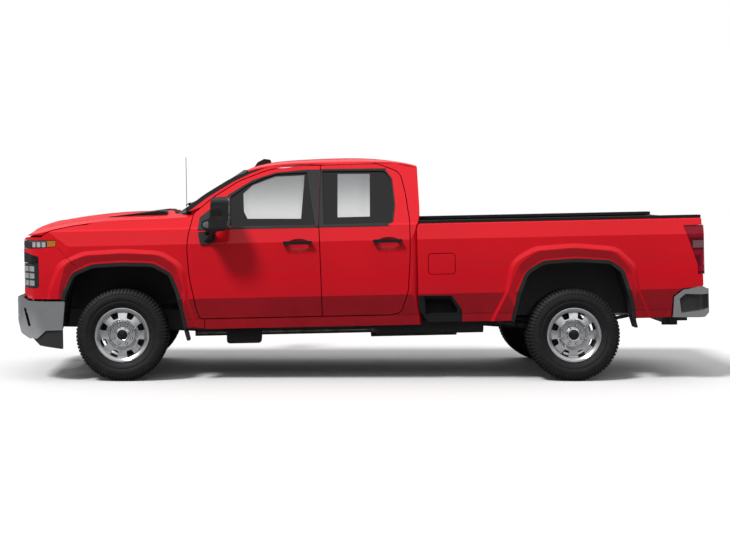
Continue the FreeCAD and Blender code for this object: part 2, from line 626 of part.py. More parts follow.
def door_handle(x):
    """A pull handle on two feet, standing proud of the door."""
    y = side_y(HANDLE_Z)
    grip = [(x, HANDLE_Z - 15, 12), (x + HANDLE_L, HANDLE_Z - 15, 12),
            (x + HANDLE_L, HANDLE_Z + 17, 14), (x, HANDLE_Z + 17, 14)]
    bar = prism(grip, "XZ", y + HANDLE_REACH - 16, y + HANDLE_REACH)
    feet = [box(x + at, x + at + 34, y - SCOOP[1], y + HANDLE_REACH - 10, HANDLE_Z - 12, HANDLE_Z + 12)
            for at in (6, HANDLE_L - 40)]
    return bar.fuse(feet)


def handle_scoop(x):
    """The shallow bowl that leaves room for fingers behind the handle."""
    bowl = Part.makeSphere(1.0)
    sizes = FreeCAD.Matrix()
    sizes.scale(*SCOOP)
    bowl = bowl.transformGeometry(sizes)
    bowl.translate(V(x + HANDLE_L / 2 - 10, side_y(HANDLE_Z), HANDLE_Z - SCOOP_DROP))
    return bowl


def cab_shell(panel):
    """Sills, pillars, rear wall and cowl, welded into one shell under the roof panel."""
    x0, x1 = CAB_REAR_X, CAB_FRONT_X
    low = side_band(x0, x1, 0, WALL_DEPTH, SILL_Z, BELT_Z)
    high = side_band(x0, x1, 0, WALL_DEPTH_UP, BELT_Z, DOOR_TOP_Z + 28)
    roof_line = [(x, z - ROOF_T) for x, z in ROOF_EDGE]
    region = [(x0, SILL_Z), (FENDER_END_X - HALF_GAP, SILL_Z), (FENDER_END_X - HALF_GAP, 600.0),
              (1560.0, 1300.0), (1545.0, 1540.0)] + A_PILLAR_EDGE[:3] + roof_line
    side = low.fuse(high).common(prism(region, "XZ", 0, 1200)).cut(door_blank(HALF_GAP))
    side = side.cut(prism(FENDER_ZONE, "XZ", 900, 1200))
    hinge_post = side_band(FENDER_END_X - 20, 1600, FENDER_T + FIT, WALL_DEPTH, SILL_Z, 1438)
    hinge_post = hinge_post.cut(door_blank(HALF_GAP))
    post_x = B_POST_X
    post_in = DOOR_DEPTH + 50
    b_low = side_band(post_x - 62, post_x + 62, DOOR_DEPTH + 8, post_in, SILL_Z, BELT_Z + 60)
    b_high = side_band(post_x - 52, post_x + 52, FRAME_DEPTH + 8, DOOR_DEPTH + 20,
                       BELT_Z + 8, DOOR_TOP_Z + 28)
    strikers = [side_band(a, b, DOOR_DEPTH + FIT, depth, 1030, 1090)
                for a, b, depth in ((post_x - 30, post_x + 30, DOOR_DEPTH + 12),
                                    (REAR_STRIKER_X - 60, REAR_STRIKER_X, WALL_DEPTH))]
    b_high = b_high.common(prism(region, "XZ", 0, 1200))
    half = side.fuse([hinge_post, b_low, b_high] + strikers)
    wall = box(x0, x0 + REAR_WALL_T, 0, 1030, FLOOR_Z, 1890)
    heights = [SILL_Z] + [z for _, z in SIDE if SILL_Z < z < 1950] + [1950]
    inside = prism([(side_y(z), z) for z in heights] + [(0, 1950), (0, SILL_Z)], "YZ", x0, 1800)
    wall = wall.common(inside)
    wall = wall.cut(prism(REAR_GLASS, "YZ", x0 - 10, x0 + 200))
    header = box(x0, x0 + 90, 0, 700, 1850, 1890 - ROOF_T).common(inside)
    cowl = prism([(1490, 1395), (1660, 1395), (1752, 1470), (1752, 1496), (1490, 1496)],
                 "XZ", 0, 880)
    half = fused(half, wall, header, cowl)
    whole = half.fuse(mirrored(half)).removeSplitter()
    return whole.common(cab_plan(0)).cut(ahead_of_hood_line(-HOOD_GAP)).cut(panel)


def cab_plan(grow):
    """The cab seen from above, with its rounded rear corners."""
    x0 = CAB_REAR_X - grow
    y0 = HALF_WIDTH + grow
    r = CAB_CORNER_R + grow
    return prism([(x0, y0, r), (x0, -y0, r), (1900, -y0), (1900, y0)], "XY", 400, 2200)


def ahead_of_hood_line(shift):
    """The block ahead of the hood's curved rear edge, above the cowl."""
    a, b = V(HOOD_REAR_SIDE + shift, -1000, 1300), V(HOOD_REAR_SIDE + shift, 1000, 1300)
    middle = V(HOOD_REAR_MID + shift, 0, 1300)
    arc = Part.Arc(a, middle, b).toShape()
    rest = Part.makePolygon([b, V(3400, 1000, 1300), V(3400, -1000, 1300), a])
    return Part.Face(Part.Wire(arc.Edges + rest.Edges)).extrude(V(0, 0, 400))


def crown(drop=0.0):
    """Everything under the hood's crowned surface, from the cowl to the nose."""
    stations = [(1420, 1560), (1560, 1548), (1830, 1537), (2245, 1530), (2761, 1478),
                (2960, 1434), (3060, 1385), (3112, 1318)]
    wires = []
    for x, top in stations:
        half = [(0, top), (330, top - 1), (430, top - 5), (478, top - 25), (720, top - 30),
                (900, top - 42), (1010, top - 80), (1110, top - 150), (1110, 380)]
        points = [(y, z - drop) for y, z in half]
        points += [(-y, z) for y, z in reversed(points[1:])]
        wires.append(Part.makePolygon([V(x, y, z) for y, z in points] + [V(x, *points[0])]))
    return Part.makeLoft(wires, True, False)


def front_end(grow=0.0):
    return body_block(grow).common(crown(-grow))


def hood_zone(gap=0.0):
    """The space the hood fills: above its side cut and inside its plan outline."""
    side = [(x, z + HOOD_GAP - gap, *rest) for x, z, *rest in HOOD_LOW]
    above = prism(side + [(3400, 1330 - gap), (3400, 1700), (1400, 1700)], "XZ", -1200, 1200)
    half = [(x, y + gap, *rest) for x, y, *rest in HOOD_PLAN]
    plan = half + [(x, -y, *rest) for x, y, *rest in reversed(half)]
    return above.common(prism(plan, "XY", 1200, 1700))


def hood():
    """The clamshell hood: a hollow shell with a raised middle, cut to the fender line."""
    shell = front_end().cut(front_end(-HOOD_T))
    return shell.common(hood_zone()).common(ahead_of_hood_line(0))


def fender():
    """The left front fender with its corner round to the grille."""
    swell = arch_swell(ARCH_FRONT, CREST_FRONT, FOOT_FRONT, body_block(CREST_CLIP, 480))
    skin = front_end().fuse(swell).cut(front_end(-FENDER_T))
    skin = skin.cut(crease(FENDER_CREASE, lambda x, z: min(side_y(z), plan_y(x))))
    region = [(FENDER_END_X + HALF_GAP, 470), (2600, 470), (2600, 764), (3055, 767), (3139, 832),
              (3300, 850), (3300, 1322), (2905, 1330), (2905, 1700), (1440, 1700)]
    shape = skin.common(prism(region, "XZ", GRILLE_HALF + FIT, 1200))
    shape = shape.cut(hood_zone(HOOD_GAP))
    shape = shape.cut(prism(ARCH_FRONT, "XZ", 0, 1200, -MOULDING_W / 2))
    shape = shape.cut(prism([(1500, 300), (2800, 300), (2745, 480), (1600, 480)], "XZ", 0, 1200))
    shape = shape.cut(door_blank(HALF_GAP))
    shape = shape.cut(prism(PILLAR_FOOT, "XZ", 0, 1200))
    stop = rod((HOOD_STOP_X, HOOD_STOP_Y, 1380), (HOOD_STOP_X, HOOD_STOP_Y, 1500), 12)
    shape = shape.fuse(stop.cut(hood_zone(FIT)))
    shape = shape.cut(seam_groove())
    return shape.cut([prism(LAMP, "XZ", 0, 1200, FIT), prism(NOSE_OPENING, "XZ", 0, 1200, FIT)])


def seam_groove():
    """The joint between fender and fascia, as a fine cut from lamp to wheel arch."""
    (x0, z0), (x1, z1) = FASCIA_SEAM
    line = prism([(x0, z0), (x0 + SEAM_W, z0), (x1 + SEAM_W, z1), (x1, z1)], "XZ", 0, 1200)
    return line.cut(front_end(-SEAM_DEPTH))


def valance():
    """The painted strip under the grille, between the fender corners."""
    strip = body_block().cut(body_block(-FENDER_T))
    half = GRILLE_HALF - FIT
    return strip.common(box(2900, 3300, -half, half, VALANCE_LOW, GRILLE_LOW - FIT))


def headlamps():
    """The slim upper lamp and the tall corner lamp of the left side."""
    shell = front_end().cut(front_end(-LAMP_T))
    return [shell.common(prism(shape, "XZ", GRILLE_HALF + 2 * FIT, 1200))
            for shape in (LAMP, CORNER_LAMP)]


def grille():
    """An open frame with deep bars between the headlamps, and the cheeks beside it."""
    left_half = box(2900, 3300, 0, GRILLE_HALF, GRILLE_LOW, GRILLE_TOP)
    border = body_block(-GRILLE_BACK).cut(body_block(-GRILLE_BACK - GRILLE_T))
    border = border.common(left_half)
    border = border.cut(box(2900, 3300, -1, GRILLE_HALF - 26, GRILLE_LOW + 22, GRILLE_TOP - 22))
    parts = []
    for height, thick, back in GRILLE_BARS:
        bar = body_block(-back).cut(body_block(-GRILLE_BACK - GRILLE_T + 6))
        parts.append(bar.common(box(2900, 3300, 0, GRILLE_HALF, height - thick, height + thick)))
    ribs = body_block(-GRILLE_BACK - 12).cut(body_block(-GRILLE_BACK - GRILLE_T + 10))
    for y in range(60, int(GRILLE_HALF) - 30, 110):
        parts.append(ribs.common(box(2900, 3300, y - 5, y + 5, GRILLE_LOW, GRILLE_TOP)))
    shell = front_end().cut(front_end(-LAMP_T))
    parts.append(shell.common(prism(CHEEK, "XZ", GRILLE_HALF - 10, 1200)))
    half = border.fuse(parts)
    return half.fuse(mirrored(half)).removeSplitter()


def bumper_plan(grow, low, high):
    plan = BUMPER_PLAN + [(x, -y, *rest) for x, y, *rest in reversed(BUMPER_PLAN)]
    return prism(plan, "XY", low, high, grow)


def front_bumper():
    """Chrome bumper wrapped round both corners, and the dark dam below it."""
    ring = bumper_plan(0, 300, 800).cut(bumper_plan(-BUMPER_T, 290, 810))
    bumper = ring.common(prism(BUMPER_SIDE, "XZ", -1300, 1300))
    mouth = prism([(-330, 500, 30), (330, 500, 30), (350, 612, 30), (-350, 612, 30)], "YZ", 3000, 3300)
    hook_slots = pair(prism([(448, 508, 12), (496, 508, 12), (496, 628, 12), (448, 628, 12)],
                            "YZ", 3000, 3300))
    front_slots = pair(prism([(640, 590, 14), (684, 590, 14), (690, 718, 14), (646, 718, 14)],
                             "YZ", 3000, 3300))
    corner_slots = pair(prism(BUMPER_SLOT, "XZ", 780, 1100))
    bumper = bumper.cut([mouth, hook_slots, front_slots, corner_slots])
    dam = bumper_plan(-14, 300, 520).cut(bumper_plan(-34, 290, 530))
    dam = dam.common(prism(DAM_SIDE, "XZ", -1300, 1300)).cut(bumper)
    return Part.makeCompound([bumper] + sorted(dam.Solids, key=lambda s: s.Volume)[-2:])


def roof():
    """The roof panel, crowned, with a small fin near its front."""
    wires = []
    for (x, edge), top in zip(ROOF_EDGE, ROOF_TOP):
        ye = side_y(edge) - 2
        rise = top - edge
        half = [(0, top), (400, top - 0.12 * rise), (ye - 90, edge + 0.55 * rise),
                (ye - 26, edge + 0.2 * rise), (ye, edge), (ye + 6, edge - ROOF_T)]
        points = half + [(-y, z) for y, z in reversed(half[1:])]
        wires.append(Part.makePolygon([V(x, y, z) for y, z in points] + [V(x, 0, top)]))
    panel = Part.makeLoft(wires, True, False)
    fin = prism([(991, 1920), (940, 1990, 30), (877, 2021, 12), (812, 2012, 20), (800, 1960)],
                "XZ", -16, 16)
    return panel.fuse(fin).removeSplitter()


def bed_band(outer, inner, low, high, x0=-3200.0, x1=-400.0):
    return side_band(x0, x1, outer, inner, low, high)


def bed_side():
    """Left bed side: double wall with rail, arch cut, lamp recess."""
    behind_cab = cab_plan(BED_GAP)
    wall = bed_band(0, BED_WALL, 400, BED_RAIL_Z).common(prism(BED_OUTLINE, "XZ", 0, 1200))
    wall = wall.cut(behind_cab)
    post = box(BED_REAR_X, BED_REAR_X + 62, TAILGATE_HALF + 6, 940, 770, BED_RAIL_Z - 4)
    envelope = bed_band(-CREST_CLIP, FOOT_IN + 20, 480, BED_RAIL_Z)
    swell = arch_swell(ARCH_REAR, CREST_REAR, FOOT_REAR, envelope)
    wall = wall.fuse([post, swell]).removeSplitter()
    wall = wall.cut(crease(BED_CREASE, lambda x, z: side_y(z)))
    rim, hole = outline(STEP_RIM, "XZ", HALF_WIDTH - 3), outline(STEP_HOLE, "XZ", HALF_WIDTH - 26)
    hollow = prism(STEP_HOLE, "XZ", HALF_WIDTH - STEP_DEPTH, HALF_WIDTH)
    wall = wall.cut([Part.makeLoft([rim, hole], True, True), hollow])
    wall = wall.cut(prism(ARCH_REAR, "XZ", 0, 1200, -MOULDING_W / 2))
    wall = wall.cut(prism([(-2520, 300), (-1330, 300), (-1340, 480), (-2500, 480)], "XZ", 0, 1200))
    cap = box(BED_REAR_X + 4, BED_LEAD_X - 20, side_y(BED_RAIL_Z) - BED_WALL, side_y(BED_RAIL_Z) + 4,
              BED_RAIL_Z, BED_RAIL_Z + CAP_T)
    wall = wall.fuse(cap.cut(behind_cab)).removeSplitter()
    bearing = rod((TAILGATE_X, TAILGATE_HALF, TAILGATE_Z), (TAILGATE_X, TAILGATE_HALF + 30, TAILGATE_Z),
                  TRUNNION_R + TRUNNION_RUN)
    return wall.cut([tail_lamp_block(FIT), bearing])


def tail_lamp_block(grow=0.0):
    """The lamp's own volume round the rear corner."""
    side = bed_band(-2, TAIL_LAMP_T + grow, 800, 1384).common(prism(TAIL_LAMP, "XZ", 0, 1200, grow))
    rear = box(BED_REAR_X - 2, BED_REAR_X + TAIL_LAMP_T + grow, TAILGATE_HALF + 14 - grow, 1036,
               872 - grow, 1320 + grow)
    rear = rear.common(bed_band(-2, 400, 800, 1384))
    return side.fuse(rear).removeSplitter()


def tail_lamp():
    lamp = tail_lamp_block()
    return lamp.common(box(BED_REAR_X - 14, -2900, 0, 1200, 800, 1400))


def bed_floor():
    """Ribbed floor, front wall and wheel houses."""
    front = box(BED_FRONT_X, BED_FRONT_X - 38, -905, 905, BED_FLOOR_Z - 60, BED_RAIL_Z - 4)
    floor = box(BED_FRONT_X, BED_REAR_X + 92, -905, 905, BED_FLOOR_Z - 30, BED_FLOOR_Z)
    ribs = [box(BED_FRONT_X - 60, BED_REAR_X + 100, y - 34, y + 34, BED_FLOOR_Z, BED_FLOOR_Z + 9)
            for y in range(-560, 561, 140)]
    sills = [box(x - 40, x + 40, -RAIL_OUT, RAIL_OUT, top + FIT, BED_FLOOR_Z - 20)
             for x, top in ((-800.0, 590.0), (-1900.0, 700.0), (-2860.0, 650.0))]
    whole_sills = sills[0].fuse(sills[1:])
    house = prism(ARCH_REAR, "XZ", WHEEL_HOUSE_Y, 905.0)
    hollow = prism(ARCH_REAR, "XZ", WHEEL_HOUSE_Y + 14, 950.0, -14)
    whole = fused(floor, front, whole_sills, *ribs)
    for turn in (lambda s: s, mirrored):
        whole = whole.fuse(turn(house)).cut(turn(hollow))
    below = box(-2600, -1200, -1000, 1000, 300, 500)
    return whole.cut(below).common(between_walls(BED_WALL + FIT)).removeSplitter()


def between_walls(depth, low=400.0, high=1960.0):
    """Everything between the left and right walls, from depth below their surface."""
    heights = [low] + [z for _, z in SIDE if low < z < high] + [high]
    half = [(side_y(z) - depth, z) for z in heights]
    return prism(half + [(-y, z) for y, z in reversed(half)], "YZ", -3300, 3300)


def tailgate():
    panel = [(BED_REAR_X, TAILGATE_LOW, 8), (BED_REAR_X, BED_RAIL_Z - 6, 14),
             (BED_REAR_X + TAILGATE_T, BED_RAIL_Z - 6, 14), (BED_REAR_X + TAILGATE_T, TAILGATE_LOW, 8)]
    plate = prism(panel, "XZ", -TAILGATE_HALF, TAILGATE_HALF)
    recess = prism([(-720, 960, 40), (720, 960, 40), (720, 1240, 40), (-720, 1240, 40)],
                   "YZ", BED_REAR_X - 1, BED_REAR_X + 9)
    grip = prism([(-120, 1268, 16), (120, 1268, 16), (120, 1330, 16), (-120, 1330, 16)],
                 "YZ", BED_REAR_X - 1, BED_REAR_X + 24)
    pivot = rod((TAILGATE_X, -TAILGATE_HALF - 24, TAILGATE_Z), (TAILGATE_X, TAILGATE_HALF + 24, TAILGATE_Z),
                TRUNNION_R)
    return plate.cut([recess, grip]).fuse(pivot).removeSplitter()


def rear_bumper():
    """Chrome step bumper: face bar with a foot pocket at each corner, and its step."""
    outer = prism(REAR_PLAN, "XY", 440, 780)
    inner = prism([(x + REAR_BUMPER_T if x < -2800 else x, y * 0.955, *r) for x, y, *r in REAR_PLAN],
                  "XY", 430, 790)
    region = prism(REAR_SIDE, "XZ", -1200, 1200)
    bar = outer.cut(inner).common(region)
    top = outer.common(box(-3300, -3112, -1200, 1200, 722, 742)).common(region)
    bar = bar.fuse(top).removeSplitter()
    pocket = outer.cut(prism(REAR_PLAN, "XY", 430, 790, -REAR_POCKET_DEPTH))
    pocket = pocket.common(prism(REAR_POCKET, "XZ", 880, 1200))
    return bar.cut([box(-3300, -3256, -170, 170, 560, 690), pocket, mirrored(pocket)])


def arch_moulding(arch):
    """A raised black lip round a wheel arch."""
    ring = prism(arch, "XZ", 700, 1200).cut(prism(arch, "XZ", 690, 1210, -MOULDING_W))
    ring = ring.cut(box(-4000, 4000, 600, 1300, 0, 470))
    return ring


def arch_mouldings():
    """Black lips of the four arches with their flaps, and the front arch liners."""
    def shaped(arch, face_zone, lip_zone, flap):
        ring = arch_moulding(arch)
        lip = prism(arch, "XZ", 700, 1200, -MOULDING_W / 2 - FIT).common(ring)
        flap = prism(flap, "XZ", FLAP_IN_Y, HALF_WIDTH - FLAP_OUT)
        return ring.common(face_zone).fuse([lip.common(lip_zone), flap]).removeSplitter()

    front = shaped(ARCH_FRONT, body_block(MOULDING_RISE).cut(body_block(FIT)),
                   body_block(1).cut(body_block(-40)), FLAP_FRONT)
    front = front.cut(box(2600, 3000, 600, 1300, 0, MOULDING_END_Z))
    rear = shaped(ARCH_REAR, side_band(-2600, -1200, -MOULDING_RISE, -FIT, 440, 1300),
                  side_band(-2600, -1200, -1, 40, 440, 1300), FLAP_REAR)
    liner = prism(ARCH_FRONT, "XZ", LINER_Y, LINER_OUT_Y, -MOULDING_W - FIT)
    liner = liner.cut(prism(ARCH_FRONT, "XZ", LINER_Y - 10, 1100, -MOULDING_W - 6))
    liner = liner.cut(box(1400, 3000, 400, 1100, 0, 500))
    pieces = [front, rear, liner]
    return Part.makeCompound(pieces + [mirrored(p) for p in pieces])


def frame():
    """Two open channel rails, cross members bolted between them, and the tow receiver."""
    rail = prism(RAIL, "XZ", RAIL_IN, RAIL_OUT)
    pocket = prism(RAIL, "XZ", RAIL_IN - 5, RAIL_OUT - RAIL_WALL, -RAIL_WALL)
    rail = rail.cut(pocket)
    brackets = [box(FRONT_AXLE_X + at - 40, FRONT_AXLE_X + at + 40, RAIL_IN, RAIL_OUT, 320, 470)
                for at in (-ARM_SPREAD, ARM_SPREAD)]
    tip = box(3060, 3300, RAIL_IN, RAIL_OUT, 490, 600)
    tip = tip.common(bumper_plan(-BUMPER_T - FIT, 400, 700))
    loop = prism([(3040, 428, 8), (3150, 428, 30), (3150, 495, 10), (3040, 495, 8)], "XZ",
                 HOOK_Y - 14, HOOK_Y + 14)
    hook = loop.cut(rod((3106, HOOK_Y - 20, 462), (3106, HOOK_Y + 20, 462), HOOK_R))
    bumper_arm = box(RAIL_END_X + 60, REAR_PLAN[3][0] + REAR_BUMPER_T + FIT, RAIL_IN, RAIL_OUT, 530, 630)
    rail = fused(rail, tip, hook, bumper_arm, *brackets)
    half = RAIL_OUT - RAIL_WALL - FIT
    members = []
    for x, base in CROSS:
        members.append(box(x - 45, x + 45, -half, half, base, base + 50).cut(pair(rail)))
    return Part.makeCompound([rail, mirrored(rail), receiver()] + [m.Solids[0] for m in members])


def receiver():
    """Square tow socket on a cross bar, hung from both rails by its ears."""
    tube = box(RECEIVER_END, RECEIVER_END + RECEIVER_LEN, -RECEIVER_OUT, RECEIVER_OUT,
               RECEIVER_Z - RECEIVER_OUT, RECEIVER_Z + RECEIVER_OUT)
    hollow = box(RECEIVER_END - 5, RECEIVER_END + RECEIVER_LEN - 10, -RECEIVER_IN, RECEIVER_IN,
                 RECEIVER_Z - RECEIVER_IN, RECEIVER_Z + RECEIVER_IN)
    bar_x = RECEIVER_END + RECEIVER_LEN
    bar = box(bar_x, bar_x + 76, -470, 470, RECEIVER_Z - 38, RECEIVER_Z + 38)
    ears = [box(bar_x, bar_x + 140, s * (RAIL_OUT + FIT), s * (RAIL_OUT + 22), RECEIVER_Z - 38, 640)
            for s in (-1, 1)]
    pin = rod((RECEIVER_END + PIN_BACK, -80, RECEIVER_Z), (RECEIVER_END + PIN_BACK, 80, RECEIVER_Z), PIN_R)
    return tube.fuse([bar] + ears).cut([hollow, pin]).removeSplitter()


def engine():
    """Engine block, gearbox, transfer case and both propeller shafts."""
    block = prism(ENGINE_SIDE, "XZ", -ENGINE_HALF, ENGINE_HALF)
    gearbox = prism(GEARBOX_SIDE, "XZ", -GEARBOX_HALF, GEARBOX_HALF)
    mounts = [box(2120, 2200, s * (ENGINE_HALF - 10), s * (RAIL_OUT - RAIL_WALL - FIT), 570, 606)
              for s in (-1, 1)]
    block = block.fuse([gearbox] + mounts).removeSplitter()
    shaft = rod((SHAFT_START_X - FIT, 0, SHAFT_START_Z),
                (REAR_AXLE_X + SNOUT_REACH, 0, SHAFT_END_Z), SHAFT_R)
    return Part.makeCompound([block, shaft])


def rear_axle():
    """Axle tube, differential housing, hubs and drum-side flanges; drawn where it stands."""
    x, z = REAR_AXLE_X, TYRE_R
    tube = rod((x, -HUB_Y, z), (x, HUB_Y, z), 48)
    housing = Part.makeSphere(165, V(x, 0, z))
    snout = rod((x + 40, 0, z), (x + SNOUT_REACH, 0, z + 14), SNOUT_R)
    parts = [housing, snout]
    for s in (-1, 1):
        parts += spindle(x, s)
        parts.append(box(x - 70, x + 70, s * (SPRING_Y - 36), s * (SPRING_Y + 36), z + 20, SPRING_Z - FIT))
    return tube.fuse(parts).removeSplitter()


def spindle(x, side):
    """Boss up to the wheel and the round spindle in its bore."""
    z = TYRE_R
    face = WHEEL_Y + HUB_FACE - 10
    boss = rod((x, side * (HUB_Y - 20), z), (x, side * (face - FIT), z), HUB_BOSS_R)
    pin = rod((x, side * (face - 20), z), (x, side * (face + 28), z), SPINDLE_R)
    return [boss, pin]


def placed_wheel(x, side):
    """Tyre and wheel at their axle end, with the hub bore and brake disc."""
    tyre, wheel = wheel_shapes()
    face = HUB_FACE - 10
    disc = revolved([(-22, 88), (-22, DISC_R), (6, DISC_R), (6, 100), (face, 100), (face, 62),
                     (face - 12, 62), (face - 12, 88)])
    wheel = wheel.fuse([disc])
    wheel = wheel.cut(rod((0, face - 1, 0), (0, face + 30, 0), SPINDLE_R + SPINDLE_RUN))
    shapes = [tyre, wheel.removeSplitter()]
    if side < 0:
        shapes = [mirrored(s) for s in shapes]
    for s in shapes:
        s.translate(V(x, side * WHEEL_Y, TYRE_R))
    return shapes


def knuckle():
    """Left steering knuckle: upright, king pins, steering arm, boss and spindle."""
    x, z = FRONT_AXLE_X, TYRE_R
    upright = prism([(x - 50, z - 104, 20), (x + 50, z - 104, 20), (x + 70, z, 60),
                     (x + 50, z + 104, 20), (x - 50, z + 104, 20), (x - 70, z, 60)], "XZ",
                    STEER_Y - 24, STEER_Y + 24)
    arm = box(x - 190, x - 30, STEER_Y - 50, STEER_Y - 20, z - 60, z - 34)
    pin = rod((x, STEER_Y, z - KING_PIN_END), (x, STEER_Y, z + KING_PIN_END), KING_PIN_R)
    return upright.fuse([arm, pin] + spindle(x, 1)).removeSplitter()


def leaf_spring():
    """A pack of leaves bowed down over the rear axle, with its hangers and damper."""
    x, z = REAR_AXLE_X, SPRING_Z
    reach, rise = 720.0, 96.0
    radius = (reach ** 2 + rise ** 2) / (2 * rise)
    packs = []
    for i, share in enumerate((1.0, 0.82, 0.6)):
        low, high = radius - i * LEAF_T, radius - (i + 1) * LEAF_T
        centre = V(x, SPRING_Y - 36, z + radius)
        ring = Part.makeCylinder(low, 72, centre, V(0, 1, 0)).cut(
            Part.makeCylinder(high, 72, centre, V(0, 1, 0)))
        packs.append(ring.common(box(x - reach * share, x + reach * share, 0, 1000, 300, 800)))
    spring = packs[0].fuse(packs[1:])
    eyes = []
    for s in (-1, 1):
        ex, ez = x + s * reach, z + rise + 6
        eyes.append(rod((ex, RAIL_OUT + FIT, ez), (ex, SPRING_Y + 36, ez), 24))
        eyes.append(box(ex - 24, ex + 24, RAIL_OUT + FIT, RAIL_OUT + 14, ez - 20, ez + 60))
    damper_y = RAIL_OUT + FIT + DAMPER_R
    low_end = (x - 48 - DAMPER_R - 2, damper_y, TYRE_R + 8)
    damper = rod(low_end, (x - 200, damper_y, 700), DAMPER_R)
    eye = rod((x - 49 - DAMPER_R, damper_y - 18, TYRE_R), (x - 49 - DAMPER_R, damper_y + 18, TYRE_R),
              DAMPER_R + 1 - FIT)
    return [spring.fuse(eyes).removeSplitter(), damper.fuse(eye).removeSplitter()]


def front_arms():
    """Upper and lower wishbones from the rail to the king pins, and the spring leg."""
    x, z = FRONT_AXLE_X, TYRE_R
    parts = []
    for s_up in (-1, 1):
        tip_z = z + s_up * (104 + 3 + 16)
        root_z = z + (150 if s_up > 0 else -56)
        for s in (-1, 1):
            root = (x + s * ARM_SPREAD, RAIL_OUT - 20, root_z)
            parts.append(rod(root, (x, STEER_Y - 20, tip_z), 15))
        eye = rod((x, STEER_Y, tip_z - 16), (x, STEER_Y, tip_z + 16), KING_PIN_R + 11)
        bore = rod((x, STEER_Y, tip_z - 40), (x, STEER_Y, tip_z + 40), KING_PIN_R + KING_PIN_RUN)
        parts.append(eye)
        arm = parts[0].fuse(parts[1:]).cut(bore)
        yield arm.common(box(x - 400, x + 400, RAIL_OUT + FIT, 900, 0, 900)).removeSplitter()
        parts = []


def suspension():
    pieces = leaf_spring() + list(front_arms())
    return Part.makeCompound(pieces + [mirrored(p) for p in pieces])


def exhaust():
    """Pipe, silencer and tail pipe on the right-hand side, on its hangers."""
    route = EXHAUST_ROUTE
    pipes = [rod(a, b, EXHAUST_R) for a, b in zip(route, route[1:])]
    joints = [Part.makeSphere(EXHAUST_R, V(*p)) for p in route[1:-1]]
    silencer = rod(route[1], route[2], SILENCER_R)
    hangers = [box(x - 8, x + 8, -RAIL_OUT + 20, EXHAUST_Y + 10, EXHAUST_Z + 10, 390 - FIT)
               for x in HANGER_X]
    return pipes[0].fuse(pipes[1:] + joints + [silencer] + hangers).removeSplitter()


def fuel_tank():
    return prism(TANK_SECTION, "YZ", TANK_REAR_X, TANK_FRONT_X)


def radiator():
    core = prism([(-400, 645, 20), (400, 645, 20), (400, 1240, 20), (-400, 1240, 20)], "YZ",
                 2840, 2910)
    feet = [box(2850, 2900, s * 370, s * 395, 560, 660) for s in (-1, 1)]
    return core.fuse(feet).cut(prism(RAIL, "XZ", -500, 500, FIT)).removeSplitter()


def cab_floor():
    """Floor pan with tunnel, firewall and toe board."""
    inner = HALF_WIDTH
    pan = [(-CAB_REAR_GAP, 640), (1420, 640), (1560, 800), (1560, 1390), (1520, 1390),
           (1520, 815), (1400, 668), (-CAB_REAR_GAP, 668)]
    pan = prism(pan, "XZ", -inner, inner)
    tunnel = prism([(-190, 660), (-172, 868, 60), (172, 868, 60), (190, 660)], "YZ", 500, 1530)
    hollow = prism([(-168, 600), (-160, 850, 50), (160, 850, 50), (168, 600)], "YZ", 480, 1590)
    mounts = [rod((x, s * (RAIL_IN + 35), 590 + FIT), (x, s * (RAIL_IN + 35), 650), 32)
              for x in (1250, 400, -430) for s in (-1, 1)]
    post = side_band(B_POST_X - 62 - FIT, B_POST_X + 62 + FIT, 0, DOOR_DEPTH + 50 + FIT, 600, 700)
    whole = pan.fuse([tunnel] + mounts).cut([hollow, post, mirrored(post)])
    return whole.common(between_walls(WALL_DEPTH + FIT)).removeSplitter()


def cab_glass(shell, panel):
    """Windshield and rear window, trimmed by the shell and the roof panel."""
    base = Part.Arc(V(1596, -872, 1514), V(1727, 0, 1500), V(1596, 872, 1514)).toShape()
    top = Part.Arc(V(1010, -704, 1902), V(1070, 0, 1908), V(1010, 704, 1902)).toShape()
    face = Part.makeRuledSurface(base, top)
    screen = face.extrude(V(5, 0, 7)).cut([shell, panel, ahead_of_hood_line(-HOOD_GAP)])
    screen = max(screen.Solids, key=lambda s: s.Volume)
    rear = prism(REAR_GLASS, "YZ", CAB_REAR_X + 14, CAB_REAR_X + 20, -FIT)
    return Part.makeCompound([screen, rear])


def dashboard():
    """Dashboard with instrument hood and steering column."""
    half = HALF_WIDTH
    body = prism(DASH_SECTION, "XZ", -half, half)
    cluster = prism(CLUSTER, "XZ", WHEEL_POST_Y - 150, WHEEL_POST_Y + 150)
    column = rod(COLUMN_ROOT, COLUMN_END, 38)
    whole = body.fuse([cluster, column])
    return whole.common(between_walls(WALL_DEPTH + 4)).removeSplitter()


def steering_wheel():
    """Rim, hub and three spokes, facing the driver."""
    ring = Part.makeTorus(STEER_RING_R, STEER_RING_T)
    hub = Part.makeCylinder(62, 40, V(0, 0, -18))
    spokes = [box(-178, -50, -22, 22, -14, 4), box(50, 178, -22, 22, -14, 4),
              box(-20, 20, -178, -50, -14, 4)]
    wheel = ring.fuse([hub] + spokes).removeSplitter()
    turn = FreeCAD.Rotation(V(0, 0, 1), V(*[-a for a in COLUMN_AXIS]))
    wheel.Placement = FreeCAD.Placement(V(*STEER_HUB), turn)
    return wheel


def seat(x, y, half):
    """One seat: cushion on its base, raked back, head rest."""
    def slab(shape, wide):
        return prism([(x + a, z, r) for a, z, r in shape], "XZ", y - wide, y + wide)

    base = box(x - 180, x + 180, y - half + 60, y + half - 60, 668 + FIT, 850)
    cushion = slab(SEAT_CUSHION, half)
    back = slab(SEAT_BACK, half - 12)
    head = slab(HEAD_REST, 130)
    posts = [rod((x - 310, y + s * 60, 1470), (x - 316, y + s * 60, 1560), 7) for s in (-1, 1)]
    return base.fuse([cushion, back, head] + posts).removeSplitter()


